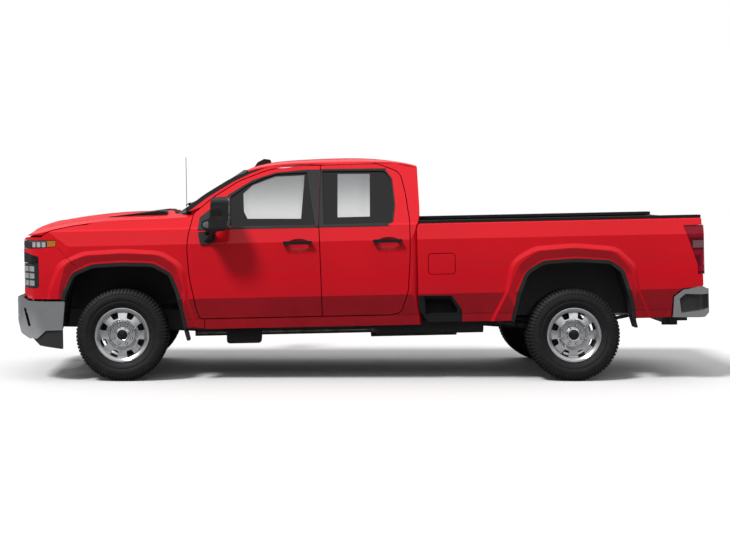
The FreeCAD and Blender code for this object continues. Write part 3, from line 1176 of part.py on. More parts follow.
def seats():
    front = seat(*FRONT_SEAT)
    rear = seat(*REAR_SEAT)
    return Part.makeCompound([front, mirrored(front), rear])


def mirror():
    """Left tow mirror: tall head on two arms from the door."""
    head = prism(MIRROR_SIDE, "XZ", 1000, 1400).common(prism(MIRROR_BACK, "YZ", 1000, 1500))
    foot = side_band(1300, 1520, -16, -FIT, 1200, 1380).common(prism(MIRROR_FOOT, "XZ", 900, 1200))
    arms = [rod((1420, side_y(z), z), (1280, 1200, head_z), 17) for z, head_z in MIRROR_ARMS]
    arms = [a.common(box(1000, 1600, HALF_WIDTH + 4, 1400, 1000, 1800)) for a in arms]
    return head.fuse([foot] + arms).removeSplitter()


def antenna():
    """Whip antenna on the right-hand fender."""
    base = Part.makeCone(14, 7, 60, V(1700, -ANTENNA_Y, 1480)).cut(front_end(FIT))
    return base.fuse(rod((1700, -ANTENNA_Y, 1530), (1698, -ANTENNA_Y, 2072), 3.0)).removeSplitter()


def fuel_door():
    plate = bed_band(1.0, FUEL_DOOR_IN, 880, 1140)
    return plate.common(prism(FUEL_DOOR, "XZ", 0, 1200, -FUEL_GAP / 2))


def fuel_recess():
    recess = bed_band(-5, 48.0, 880, 1140).common(prism(FUEL_DOOR, "XZ", 0, 1200, FUEL_GAP / 2))
    stop = bed_band(FUEL_DOOR_IN + FIT, 60.0, 990, 1030, -840.0, -825.0)
    return recess.cut(stop)


def raked(shape):
    """Turn a level piece nose-down about the front axle's ground line."""
    turned = shape.copy()
    turned.rotate(V(FRONT_AXLE_X, 0, 0), V(0, 1, 0), RAKE)
    return turned


def build():
    level = {}
    standing = {}
    level["frame"] = frame()
    level["engine"] = engine()
    level["exhaust"] = exhaust()
    level["fuel_tank"] = fuel_tank()
    level["radiator"] = radiator()
    level["cab_floor"] = cab_floor()
    panel = roof()
    shell = cab_shell(panel)
    level["cab_shell"] = shell
    level["roof"] = panel
    level["cab_glass"] = cab_glass(shell, panel)
    level["dashboard"] = dashboard()
    level["steering_wheel"] = steering_wheel()
    level["seats"] = seats()
    for place_name, front in (("front", True), ("rear", False)):
        leaf, glass = door(front)
        level["door_" + place_name + "_left"] = leaf
        level["door_" + place_name + "_right"] = mirrored(leaf)
        level["glass_" + place_name + "_left"] = glass
        level["glass_" + place_name + "_right"] = mirrored(glass)
    level["mirror_left"] = mirror()
    level["mirror_right"] = mirrored(mirror())
    corner = fender()
    level["fenders"] = Part.makeCompound([corner, mirrored(corner), valance()])
    level["hood"] = hood()
    level["grille"] = grille()
    lamps = headlamps()
    level["headlamps"] = Part.makeCompound(lamps + [mirrored(lamp) for lamp in lamps])
    level["front_bumper"] = front_bumper()
    side = bed_side()
    level["bed_sides"] = Part.makeCompound([side.cut(fuel_recess()), mirrored(side)])
    level["bed_floor"] = bed_floor()
    level["tailgate"] = tailgate()
    level["fuel_door"] = fuel_door()
    level["tail_lamps"] = pair(tail_lamp())
    level["rear_bumper"] = rear_bumper()
    level["arch_mouldings"] = arch_mouldings()
    level["antenna"] = antenna()
    standing["rear_axle"] = rear_axle()
    standing["suspension"] = suspension()
    standing["knuckle_left"] = knuckle()
    standing["knuckle_right"] = mirrored(knuckle())
    for place_name, x in (("front", FRONT_AXLE_X), ("rear", REAR_AXLE_X)):
        for side_name, s in (("left", 1), ("right", -1)):
            tyre, wheel = placed_wheel(x, s)
            standing["tyre_" + place_name + "_" + side_name] = tyre
            standing["rim_" + place_name + "_" + side_name] = wheel
    shapes = {name: raked(shape) for name, shape in level.items()}
    shapes.update(standing)
    return shapes


def main():
    os.makedirs("parts", exist_ok=True)
    for name, shape in build().items():
        print(name, len(shape.Solids), "valid" if shape.isValid() else "NOT VALID",
              round(shape.Volume / 1e6, 1))
        shape.exportStep("parts/" + name + ".step")


main()
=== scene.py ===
# %% [markdown]
# A heavy-duty pickup truck, dressed for its photograph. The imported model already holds
# every piece at its real size, so this lesson adds what makes the pieces look real: paint,
# plating, rubber and glass, then tread, lamps, trim and seats. The truck stands nose-down
# by a small angle, so new pieces are drawn level and turned with the body at the end.

# %% Load the truck
import json
import math
from functools import reduce

import bmesh
import bpy
from mathutils import Matrix, Vector


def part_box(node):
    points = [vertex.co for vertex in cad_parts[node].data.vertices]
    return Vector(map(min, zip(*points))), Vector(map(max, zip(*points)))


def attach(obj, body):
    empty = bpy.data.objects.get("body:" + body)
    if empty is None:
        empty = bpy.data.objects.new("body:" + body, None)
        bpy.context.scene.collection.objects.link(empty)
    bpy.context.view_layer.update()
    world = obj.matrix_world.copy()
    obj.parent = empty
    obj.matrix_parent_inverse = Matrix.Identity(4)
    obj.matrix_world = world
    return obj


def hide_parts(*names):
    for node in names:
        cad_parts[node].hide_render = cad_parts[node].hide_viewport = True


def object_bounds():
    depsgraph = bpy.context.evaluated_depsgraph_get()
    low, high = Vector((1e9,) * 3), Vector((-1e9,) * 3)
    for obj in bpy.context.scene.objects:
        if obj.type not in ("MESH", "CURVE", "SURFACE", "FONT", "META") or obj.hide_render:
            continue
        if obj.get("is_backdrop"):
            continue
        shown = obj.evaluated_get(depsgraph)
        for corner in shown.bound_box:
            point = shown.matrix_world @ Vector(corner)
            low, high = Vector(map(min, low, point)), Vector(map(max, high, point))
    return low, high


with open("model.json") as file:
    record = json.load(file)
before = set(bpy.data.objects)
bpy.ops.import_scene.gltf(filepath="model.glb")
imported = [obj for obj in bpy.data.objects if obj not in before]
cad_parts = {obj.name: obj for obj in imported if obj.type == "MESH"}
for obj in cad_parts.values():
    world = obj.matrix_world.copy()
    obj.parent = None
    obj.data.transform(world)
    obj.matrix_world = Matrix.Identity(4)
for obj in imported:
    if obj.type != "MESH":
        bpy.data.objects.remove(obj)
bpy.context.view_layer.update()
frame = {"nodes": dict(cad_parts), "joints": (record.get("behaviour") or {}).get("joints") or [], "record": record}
scene = bpy.context.scene


def added(name, data):
    """A new object in the scene."""
    made = bpy.data.objects.new(name, data)
    scene.collection.objects.link(made)
    return made


# %% [markdown]
# Every place on the truck follows from a few: the axles and the half track, which are read
# from the joints, the nose-down angle, and the body side's profile from sill to roof.

# %% Where the wheels and the body stand
JOINT_AT = {j["name"]: j["pos_m"] for j in frame["joints"]}
FRONT_X, _, WHEEL_Z = JOINT_AT["steer_left"]
REAR_X = JOINT_AT["roll_rear_left"][0]
WHEEL_Y = JOINT_AT["roll_front_left"][1]
RAKE = math.radians(1.2)
RAKED = (Matrix.Translation((FRONT_X, 0, 0)) @ Matrix.Rotation(RAKE, 4, "Y")
         @ Matrix.Translation((-FRONT_X, 0, 0)))
SIDES = {"left": 1, "right": -1}
SIDE_PROFILE = [(0.992, 0.462), (1.001, 0.548), (1.005, 0.562), (1.034, 0.742), (1.029, 0.960),
                (1.036, 1.240), (1.007, 1.374), (0.992, 1.392), (0.748, 1.942), (0.726, 1.972)]


def side_y(z):
    """Half width of the level body side at height z."""
    for (y0, z0), (y1, z1) in zip(SIDE_PROFILE, SIDE_PROFILE[1:]):
        if z <= z1:
            return y0 + (y1 - y0) * (z - z0) / (z1 - z0)
    return SIDE_PROFILE[-1][0]


print("front wheel", FRONT_X, WHEEL_Y, WHEEL_Z)

# %% [markdown]
# The camera stands square to the truck's left side, almost fifteen metres from its centre
# line and level with the side windows. A long lens keeps the wheels round. A little shift
# frames the truck as the photograph does, without turning the camera.

# %% Camera
CAMERA_AT = (0.7785, 14.77, 1.764)
LENS_MM = 74.5
SHIFT_X, SHIFT_Y = 0.1185, -0.1178
camera_data = bpy.data.cameras.new("camera")
camera_data.lens = LENS_MM
camera_data.shift_x = SHIFT_X
camera_data.shift_y = SHIFT_Y
camera = added("camera", camera_data)
camera.location = CAMERA_AT
camera.rotation_euler = (math.radians(90), 0, math.radians(180))
scene.camera = camera
print("camera", CAMERA_AT)

# %% [markdown]
# Material arithmetic reads best as arithmetic. This small class wraps one output socket
# of a shader tree, so that a mask can be written as 1 - dust * 0.4 and the Math nodes
# appear by themselves. Every other node comes from one method, node.


# %% Shader sockets as values
class Value:
    """A socket in a shader tree; sums and products with it add Math nodes."""

    def __init__(self, tree, socket=None):
        self.tree = tree
        self.socket = socket

    def node(self, kind, inputs=None, out=0, **settings):
        """Another node: its type, sockets, wanted output and settings."""
        made = self.tree.nodes.new(kind)
        for name, value in settings.items():
            setattr(made, name, value)
        for name, value in (inputs or {}).items():
            if isinstance(value, Value):
                self.tree.links.new(value.socket, made.inputs[name])
            else:
                made.inputs[name].default_value = value
        return Value(self.tree, made.outputs[out])

    def maths(self, operation, *values):
        return self.node("ShaderNodeMath", dict(enumerate(values)), operation=operation)

    def __add__(self, other):
        return self.maths("ADD", self, other)

    __radd__ = __add__

    def __sub__(self, other):
        return self.maths("SUBTRACT", self, other)

    def __rsub__(self, other):
        return self.maths("SUBTRACT", other, self)

    def __mul__(self, other):
        return self.maths("MULTIPLY", self, other)

    __rmul__ = __mul__

    def least(self, other):
        return self.maths("MINIMUM", self, other)

    def most(self, other):
        return self.maths("MAXIMUM", self, other)

    def size(self):
        return self.maths("ABSOLUTE", self)

    def sine(self):
        return self.maths("SINE", self)

    def root(self):
        return self.maths("SQRT", self)

    def rise(self, low, high):
        """0 below low, 1 above high, smooth between."""
        return self.node("ShaderNodeMapRange", {"Value": self, "From Min": low, "From Max": high},
                         interpolation_type="SMOOTHSTEP")

    def past(self, edge, soft=0.001):
        """1 beyond an edge that is soft over so many metres."""
        return self.rise(edge, edge + soft)

    def mix(self, first, second):
        """Two colours mixed by this value."""
        return self.node("ShaderNodeMix", {"Factor": self, 6: colour4(first), 7: colour4(second)},
                         out=2, data_type="RGBA")

    def noise(self, scale, detail=2.0):
        return self.node("ShaderNodeTexNoise",
                         {"Vector": self.place(), "Scale": scale, "Detail": detail})

    def place(self, kind="Object"):
        """The point in the piece's own coordinates, its Normal, or a world's direction."""
        return self.node("ShaderNodeTexCoord", out=kind)

    def ray(self, kind):
        """1 for rays of a kind, such as those straight from the camera."""
        return self.node("ShaderNodeLightPath", out=kind)

    def split(self):
        """A vector's x, y and z."""
        parts = self.tree.nodes.new("ShaderNodeSeparateXYZ")
        self.tree.links.new(self.socket, parts.inputs[0])
        return [Value(self.tree, output) for output in parts.outputs]

    def axes(self):
        """x, y and z of the point, in metres."""
        return self.place().split()

    def bump(self, height, strength, distance):
        return self.node("ShaderNodeBump",
                         {"Height": height, "Strength": strength, "Distance": distance})


def colour4(value):
    return value if isinstance(value, Value) else (*value, 1.0)


def grey(value):
    return (value, value, value)


print("Value is ready")

# %% [markdown]
# A finish is one Principled shader. What is the same all over is set on its sockets, and
# what varies is linked. A dictionary from socket to value keeps each finish a short recipe.

# %% Make a finish
FINISH = {}


def finish(build, name=None):
    """A material whose Principled sockets come from its recipe."""
    name = name or build.__name__
    material = bpy.data.materials.new(name)
    material.use_nodes = True
    tree = material.node_tree
    shader = tree.nodes["Principled BSDF"]
    for socket, value in build(Value(tree)).items():
        if isinstance(value, Value):
            tree.links.new(value.socket, shader.inputs[socket])
        elif isinstance(value, tuple) and len(value) == 3:
            shader.inputs[socket].default_value = (*value, 1.0)
        else:
            shader.inputs[socket].default_value = value
    FINISH[name] = material


print("finish is ready")

# %% [markdown]
# Many pieces are two materials in one solid: a door is paint outside and trim inside. The
# place of a point on the level truck tells them apart, so these helpers give its place, say
# whether it lies within an outline, and measure how far it lies under the skin.


# %% Places on the level truck
def level_axes(t):
    """x, distance from the centre plane, and height on the level truck."""
    x, y, z = t.axes()
    ahead = x - FRONT_X
    level_x = ahead * math.cos(RAKE) - z * math.sin(RAKE) + FRONT_X
    return level_x, y.size(), ahead * math.sin(RAKE) + z * math.cos(RAKE)


def within(x, z, corners):
    """1 inside a convex outline in side view; its corners run anticlockwise."""
    depths = []
    for (x0, z0), (x1, z1) in zip(corners, corners[1:] + corners[:1]):
        run = math.hypot(x1 - x0, z1 - z0)
        depths.append((z - z0) * ((x1 - x0) / run) - (x - x0) * ((z1 - z0) / run))
    return reduce(Value.least, depths).past(0.0)


BELT_Y, BELT_Z = SIDE_PROFILE[7]
CABIN_SLOPE = 0.4436
WIDEST_Y = 1.037
FOOT_Y, FOOT_Z = SIDE_PROFILE[3]
FOOT_SLOPE = 0.161


def under_skin(t):
    """How far a point lies inside the body side's surface, in metres."""
    _, y, z = level_axes(t)
    above = BELT_Y - (z - BELT_Z) * CABIN_SLOPE
    below = FOOT_Y + (z - FOOT_Z) * FOOT_SLOPE
    return above.least(WIDEST_Y).least(below) - y


def facing_down(t):
    """1 where a panel turns under; the paint gets painted shade there."""
    return (t.place("Normal").split()[2] * -1.0).rise(0.03, 0.12)


print("belt line", BELT_Y, BELT_Z)

# %% [markdown]
# The paint is a deep red base under clear lacquer. What the eye reads as new car paint is
# the lacquer's sharp gloss over a softer base, a faint orange-peel ripple in it, and a
# little road film low on the sides. The base also carries painted shade: it is darker where
# a panel turns under and lower down the sides. One recipe serves every pressing, with a
# mask for it.

# %% Red paint
PAINT = (0.76, 0.008, 0.018)
PAINT_SHADED = (0.26, 0.001, 0.008)
TRIM_GREY = (0.030, 0.030, 0.032)
GRAIN_BLACK = (0.020, 0.020, 0.021)
LACQUER = 0.48


def lacquer(t, painted=1, other=GRAIN_BLACK):
    """Red base under clear lacquer where painted is 1, and a plain plastic elsewhere."""
    height = level_axes(t)[2]
    film = (1 - height.rise(0.40, 0.95)) * t.noise(6.0, 4.0).rise(0.35, 0.75)
    tone = t.noise(1.3, 2.0).rise(0.3, 0.7) * 0.1
    # Painted shade: the red darkens where a panel faces down and towards the bottom of the sides.
    deep = facing_down(t) * 0.50 + (1 - height.rise(0.70, 1.25)) * 0.28
    red = (tone + deep + film * 0.1).mix(PAINT, PAINT_SHADED)
    peel = t.noise(220.0, 2.0)
    return {"Base Color": red if painted == 1 else painted.mix(other, red),
            "Roughness": film * 0.2 - painted * 0.14 + 0.52,
            "Coat Weight": film * -0.1 + painted * LACQUER, "Coat Roughness": 0.03,
            "Specular IOR Level": 0.03, "Normal": t.bump(peel, 0.035, 0.0004)}


print("paint", PAINT)

# %% [markdown]
# A door is red outside and grey trim inside, with a black handle over a red scoop. The
# depth under the skin gives the inside, and an oval round each handle keeps its scoop red.

# %% Doors
HANDLE_X = (0.5705, -0.2485)
HANDLE_Z = 1.207
SCOOP_LONG, SCOOP_TALL = 7.0, 11.0
SKIN = 0.0125
SCOOP_FLOOR = 0.040
HANDLE_PROUD = 0.0075


def door_paint(t):
    x, _, z = level_axes(t)
    depth = under_skin(t)
    up = (z - HANDLE_Z) * SCOOP_TALL
    ovals = []
    for handle_x in HANDLE_X:
        across = (x - handle_x) * SCOOP_LONG
        ovals.append(1 - (across * across + up * up).rise(1.2, 1.3))
    scoop = reduce(Value.most, ovals)
    inner = depth.past(SKIN) * (1 - scoop * (1 - depth.past(SCOOP_FLOOR)))
    proud = 1 - depth.past(-HANDLE_PROUD)
    return lacquer(t, 1 - inner.most(proud), inner.mix(GRAIN_BLACK, TRIM_GREY))


print("handles", HANDLE_X, HANDLE_Z)

# %% [markdown]
# The bed has black rail caps, a sprayed liner inside and a black step in its corner. The
# shell has a black cowl, windshield moulding and rear wall lining, and the roof a black fin.

# %% Bed, shell and roof
RAIL_CAP_Z = 1.3845
LINER_Y = 0.925
LINER_Z = 0.86
STEP_RIM = [(-0.500, 0.729), (-0.815, 0.726), (-0.909, 0.590), (-0.909, 0.478), (-0.500, 0.478)]
GATE_CAP_Z = 1.362
PILLAR_LINE = [(-4.0, 0.2), (1.68, 0.2), (1.655, 1.474), (1.402, 1.658), (1.152, 1.804),
               (0.99, 1.876), (-4.0, 3.7)]
COWL_X, COWL_Y, COWL_Z = 1.500, 0.862, 1.430
LINED_Y = 0.70
LINED_Z = 1.94
FIN_REAR_X = 0.796
FIN_HALF = 0.017
ROOF_SLOPE = 0.2636
ROOF_LINE = 2.194


def bed_paint(t):
    x, y, z = level_axes(t)
    cap = z.past(RAIL_CAP_Z)
    liner = (1 - y.past(LINER_Y, 0.005)) * z.past(LINER_Z, 0.01)
    return lacquer(t, 1 - cap.most(liner).most(within(x, z, STEP_RIM)))


def tailgate_paint(t):
    return lacquer(t, 1 - level_axes(t)[2].past(GATE_CAP_Z))


def shell_paint(t):
    x, y, z = level_axes(t)
    cowl = z.past(COWL_Z, 0.002) * (1 - y.past(COWL_Y, 0.004)) * x.past(COWL_X, 0.002)
    lined = (1 - y.past(LINED_Y, 0.02)) * (1 - z.past(LINED_Z, 0.01))
    return lacquer(t, within(x, z, PILLAR_LINE) * (1 - cowl) * (1 - lined))


def roof_paint(t):
    x, y, z = level_axes(t)
    fin = (z + x * ROOF_SLOPE).past(ROOF_LINE) * x.past(FIN_REAR_X, 0.002)
    return lacquer(t, 1 - fin * (1 - y.past(FIN_HALF, 0.0005)))


finish(lacquer, "red_paint")
for make in (door_paint, bed_paint, tailgate_paint, shell_paint, roof_paint):
    finish(make)
print("painted finishes", len(FINISH))

# %% [markdown]
# Plating, plastic and rubber differ mostly in how rough they are and at what scale. Each
# gets the grain that the real one shows from arm's length. Chrome has faint smudges, and
# the bumpers' unplated parts are told by where they lie.

# %% Chrome
CHROME = (0.80, 0.81, 0.83)
CHROME_DULL = (0.70, 0.71, 0.73)
DAM_TOP = 0.405
CORNER_Z = 0.480
CORNER_X = 2.885
CORNER_SLOPE = 0.87
CORNER_END = 2.99
REAR_POCKET = [(-2.900, 0.520), (-2.885, 0.650), (-2.940, 0.694), (-3.190, 0.680),
               (-3.190, 0.551)]
POCKET_Y = 0.86


def plated(t, bare=None):
    """Chrome plate with faint smudges, and black plastic where bare is 1."""
    smudge = t.noise(9.0, 4.0).rise(0.45, 0.8)
    plate = smudge.mix(CHROME, CHROME_DULL)
    if bare is None:
        return {"Base Color": plate, "Metallic": 1.0, "Roughness": smudge * 0.07 + 0.05}
    return {"Base Color": bare.mix(plate, GRAIN_BLACK), "Metallic": 1 - bare,
            "Roughness": smudge * 0.07 + bare * 0.42 + 0.05}


def front_bumper_chrome(t):
    """Bare below the plated face: the dam, and its corner that rises to the wheel."""
    x, _, z = level_axes(t)
    low = 1 - z.past(DAM_TOP)
    below = (1 - z.past(CORNER_Z)) * (1 - (z + (x - CORNER_X) * CORNER_SLOPE).past(CORNER_Z))
    return plated(t, low.most(below * (1 - x.past(CORNER_END, 0.01))))


def rear_bumper_chrome(t):
    """Bare in the step pocket of each corner."""
    x, y, z = level_axes(t)
    return plated(t, within(x, z, REAR_POCKET) * y.past(POCKET_Y, 0.005))


print("dam top", DAM_TOP)

# %% [markdown]
# The wheel is bright where it was machined and black elsewhere: in its windows, the nuts'
# pockets and a groove round the hub. Distance from the axle and depth behind the face tell
# these apart.

# %% Wheels and bare metal
GROOVE = (0.112, 0.116)
BARREL = (0.196, 0.226)
WINDOW_FACE = 0.0645
POCKET_FACE = 0.0465


def wheel_radius(t):
    """Distance from the nearest wheel's axle, square to it."""
    x, _, z = t.axes()
    along = (x - FRONT_X).size().least((x - REAR_X).size())
    up = z - WHEEL_Z
    return (along * along + up * up).root()


def wheel_silver(t):
    radius = wheel_radius(t)
    grime = t.noise(26.0, 5.0).rise(0.5, 0.78)
    groove = radius.past(GROOVE[0], 0.0015) * (1 - radius.past(GROOVE[1], 0.0015))
    barrel = radius.past(BARREL[0], 0.014) * (1 - radius.past(BARREL[1], 0.006))
    out = t.axes()[1].size() - WHEEL_Y
    deep = (1 - out.past(WINDOW_FACE)) * radius.past(0.125, 0.002)
    pocket = (1 - out.past(POCKET_FACE)) * radius.past(0.072)
    dark = (groove * 0.9).most(barrel * 0.5).most(grime * 0.4).most(deep).most(pocket)
    return {"Base Color": dark.mix((0.78, 0.79, 0.81), grey(0.018)),
            "Metallic": 1 - deep.most(pocket), "Roughness": grime * 0.2 + dark * 0.3 + 0.14}


def cast_metal(t):
    grain = t.noise(240.0, 3.0)
    stain = t.noise(14.0, 4.0).rise(0.4, 0.7)
    return {"Base Color": stain.mix(grey(0.17), (0.10, 0.085, 0.07)), "Metallic": 0.7,
            "Roughness": 0.55 + stain * 0.2, "Normal": t.bump(grain, 0.4, 0.0008)}


def exhaust_steel(t):
    heat = t.noise(7.0, 4.0).rise(0.35, 0.7)
    return {"Base Color": heat.mix((0.40, 0.39, 0.37), (0.24, 0.19, 0.14)), "Metallic": 1.0,
            "Roughness": 0.34 + heat * 0.2}


def chassis_black(t):
    dust = t.noise(11.0, 5.0).rise(0.45, 0.8)
    return {"Base Color": (dust * 0.7).mix((0.012, 0.012, 0.013), (0.055, 0.050, 0.045)),
            "Roughness": 0.42 + dust * 0.4, "Normal": t.bump(t.noise(160.0), 0.15, 0.0006)}


def radiator(t):
    fins = (t.axes()[2] * 2100.0).sine()
    return {"Base Color": (0.06, 0.06, 0.062), "Metallic": 0.6, "Roughness": 0.5,
            "Normal": t.bump(fins, 0.5, 0.002)}


finish(plated, "chrome")
for make in (front_bumper_chrome, rear_bumper_chrome, wheel_silver, cast_metal,
             exhaust_steel, chassis_black, radiator):
    finish(make)
print("with metals", len(FINISH))

# %% [markdown]
# Moulded plastics share one recipe and differ in colour, gloss and grain. The tyre adds
# fine rings on its wall, the liner a sprayed speckle, and cloth and carpet their own weave.

# %% Plastics, rubber and cloth
WALL_RINGS = (0.345, 0.382)
THREADS = 2600.0


def moulded(base, worn, roughness, grain):
    """A moulded plastic: its colour, its dusty colour, gloss and grain size."""
    def build(t):
        dust = t.noise(13.0, 5.0).rise(0.5, 0.85)
        return {"Base Color": (dust * 0.6).mix(base, worn), "Specular IOR Level": 0.28,
                "Roughness": roughness + dust * 0.12,
                "Normal": t.bump(t.noise(grain, 2.0), 0.22, 0.0005)}
    return build


def tyre(t):
    radius = wheel_radius(t)
    dust = t.noise(18.0, 6.0).rise(0.42, 0.8)
    wall = 1 - radius.past(WALL_RINGS[1], 0.004)
    rings = (radius * 900.0).sine() * wall * radius.past(WALL_RINGS[0], 0.005)
    height = rings * 0.35 + t.noise(420.0) * 0.5
    return {"Base Color": (dust * 0.8).mix((0.009, 0.009, 0.0095), (0.021, 0.0205, 0.020)),
            "Roughness": dust * 0.2 + 0.6, "Specular IOR Level": 0.25,
            "Normal": t.bump(height, 0.35, 0.0012)}


def bed_liner(t):
    speckle = t.noise(330.0, 3.0).rise(0.35, 0.7)
    return {"Base Color": speckle.mix(grey(0.020), grey(0.045)),
            "Roughness": 0.62, "Normal": t.bump(speckle, 0.5, 0.0012)}


def seat_cloth(t):
    x, _, z = t.axes()
    threads = (x * THREADS).sine() * (z * THREADS).sine()
    fleck = t.noise(60.0, 4.0).rise(0.4, 0.7)
    return {"Base Color": fleck.mix((0.030, 0.030, 0.032), (0.060, 0.060, 0.064)),
            "Roughness": 0.85, "Sheen Weight": 0.3, "Normal": t.bump(threads, 0.35, 0.0008)}


def carpet(t):
    pile = t.noise(500.0, 4.0)
    return {"Base Color": pile.rise(0.3, 0.7).mix(grey(0.022), grey(0.05)),
            "Roughness": 0.95, "Normal": t.bump(pile, 0.9, 0.003)}


MOULDED = {"black_plastic": ((0.018, 0.018, 0.019), (0.036, 0.035, 0.034), 0.46, 700.0),
           "black_gloss": ((0.010, 0.010, 0.011), grey(0.022), 0.16, 60.0),
           "grey_plastic": ((0.16, 0.16, 0.165), grey(0.20), 0.4, 700.0),
           "tank_plastic": (grey(0.026), (0.055, 0.050, 0.045), 0.6, 300.0),
           "dash_plastic": ((0.034, 0.034, 0.036), grey(0.05), 0.55, 900.0),
           "rubber_seal": ((0.008, 0.008, 0.0085), grey(0.016), 0.5, 300.0)}
for name, recipe in MOULDED.items():
    finish(moulded(*recipe), name)
for make in (tyre, bed_liner, seat_cloth, carpet):
    finish(make)
print("with plastics", len(FINISH))

# %% [markdown]
# Car glass is a thin tinted sheet. Making it partly see-through by Alpha keeps the cabin
# lit, where real refraction would leave it dark and grainy. The share that is opaque grows
# towards grazing angles, as the reflection on real glass does.


# %% Glass and lenses
def pane(tint, cover, edge, gloss=1.0):
    """A tinted sheet: its colour, how opaque it is face on, how much more edge on, its gloss."""
    def build(t):
        grazing = t.node("ShaderNodeFresnel", {"IOR": 1.45})
        return {"Base Color": tint, "Roughness": 0.02, "Alpha": grazing * edge + cover,
                "Coat Weight": gloss, "Coat Roughness": 0.0, "Specular IOR Level": gloss * 0.5}
    return build


FRONT_CLEAR = [(0.541, 1.448), (1.031, 1.458), (1.063, 1.524), (1.067, 1.688), (0.981, 1.765),
               (0.768, 1.840), (0.497, 1.847)]
REAR_CLEAR = [(-0.089, 1.455), (0.208, 1.454), (0.192, 1.854), (-0.106, 1.848)]
REFLECTION_Z = (1.42, 1.86)


def door_glass(t):
    """Side glass: a black border for its seals and the shade behind, and a painted reflection paler low down."""
    x, _, z = level_axes(t)
    clear = within(x, z, FRONT_CLEAR).most(within(x, z, REAR_CLEAR))
    grazing = t.node("ShaderNodeFresnel", {"IOR": 1.45})
    # Painted reflection: a pale grey that darkens higher up stands for what shows in the glass.
    painted_reflection = z.rise(*REFLECTION_Z).mix((0.84, 0.845, 0.85), (0.32, 0.325, 0.33))
    # Outside the clear outline the glass is black: partly the seals, partly painted shade of the frame behind.
    return {"Base Color": clear.mix((0.010, 0.010, 0.011), painted_reflection), "Roughness": 0.03,
            "Alpha": (grazing * 0.3 + 0.58).most(1 - clear), "Coat Weight": clear * 0.9,
            "Coat Roughness": 0.0, "Specular IOR Level": 0.3}


def mirror_face(t):
    return {"Base Color": (0.75, 0.78, 0.80), "Metallic": 1.0,
            "Roughness": 0.02 + t.noise(30.0).rise(0.6, 0.9) * 0.03}


finish(pane((0.016, 0.018, 0.018), 0.42, 0.6), "glass")
finish(pane((0.30, 0.31, 0.32), 0.04, 0.5), "lamp_clear")
finish(pane((0.22, 0.001, 0.010), 0.40, 0.12, 0.3), "lamp_red")
finish(door_glass)
finish(mirror_face)
print("finishes", len(FINISH))

# %% [markdown]
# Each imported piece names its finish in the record. A few carry two materials in one solid,
# such as chrome with a black dam, so these get the finish that was made for them.

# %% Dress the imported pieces
DRESS = {"front_bumper": "front_bumper_chrome", "rear_bumper": "rear_bumper_chrome",
         "bed_sides": "bed_paint", "tailgate": "tailgate_paint", "cab_shell": "shell_paint",
         "roof": "roof_paint", "tail_lamps": "lamp_red"}
for row in frame["record"]["subparts"]:
    name = row["node"]
    node = frame["nodes"][name]
    chosen = DRESS.get(name, row["material_slot"])
    if name.startswith("door_"):
        chosen = "door_paint"
    if name.startswith("glass_"):
        chosen = "door_glass"
    if not node.material_slots:
        node.data.materials.append(None)
    for held in node.material_slots:
        held.material = FINISH[chosen]
print("dressed", len(frame["nodes"]))

# %% [markdown]
# Trim and fittings are drawn on the level truck: an outline becomes a plate, a section
# becomes a ring. Blender's own operators do the shaping, so each helper only says where.
# Vertex bevels round an outline's corners, and edge bevels break the plate's rims.


# %% Plates, rings and copies
PUT = {"X": lambda a, b, d: (d, a, b),
       "Y": lambda a, b, d: (a, d, b),
       "Z": lambda a, b, d: (a, b, d)}
SHARP = math.radians(34)


def oblong(a0, b0, a1, b1, corner=None):
    """An upright oblong's corners, rounded where a radius is given."""
    corners = [(a0, b0), (a1, b0), (a1, b1), (a0, b1)]
    return [(*at, corner) for at in corners] if corner else corners


def slanting(x0, x1, z, rise, height):
    """A narrow strip that climbs a little between its two ends."""
    return [(x0, z), (x1, z + rise), (x1, z + rise + height), (x0, z + height)]


def hexagon(radius, x=0.0, z=0.0):
    """Six corners round a point."""
    turns = [math.tau * k / 6 for k in range(6)]
    return [(x + radius * math.cos(turn), z + radius * math.sin(turn)) for turn in turns]


def sheet_of(points, axis, at):
    """A flat face; a corner written with a third number is rounded by that much."""
    flat = bmesh.new()
    corners = [flat.verts.new(PUT[axis](*corner[:2], at)) for corner in points]
    flat.faces.new(corners)
    for corner, vert in zip(points, corners):
        if len(corner) == 3:
            bmesh.ops.bevel(flat, geom=[vert], offset=corner[2], segments=4, profile=0.5,
                            affect="VERTICES", material=-1, clamp_overlap=True)
    return flat


def thicken(flat, axis, depth, edge=0.0):
    """Draw every face out along the axis, and round the rims by edge."""
    grown = bmesh.ops.extrude_face_region(flat, geom=flat.faces[:])["geom"]
    top = [v for v in grown if isinstance(v, bmesh.types.BMVert)]
    bmesh.ops.translate(flat, verts=top, vec=PUT[axis](0, 0, depth))
    bmesh.ops.recalc_face_normals(flat, faces=flat.faces)
    if edge:
        rims = [e for e in flat.edges if e.calc_face_angle(0) > 0.6]
        bmesh.ops.bevel(flat, geom=rims, offset=edge, segments=2, profile=0.5,
                        affect="EDGES", material=-1, clamp_overlap=True)
    return flat


def slab(points, axis, low, high, edge=0.0):
    return thicken(sheet_of(points, axis, low), axis, high - low, edge)


def ring(points, axis, low, high, width, edge=0.0):
    """A slab with the middle left out, as a seal or a bezel is."""
    flat = sheet_of(points, axis, low)
    middle = flat.faces[:]
    bmesh.ops.inset_region(flat, faces=middle, thickness=width, use_boundary=True,
                           use_even_offset=True)
    bmesh.ops.delete(flat, geom=middle, context="FACES")
    return thicken(flat, axis, high - low, edge)


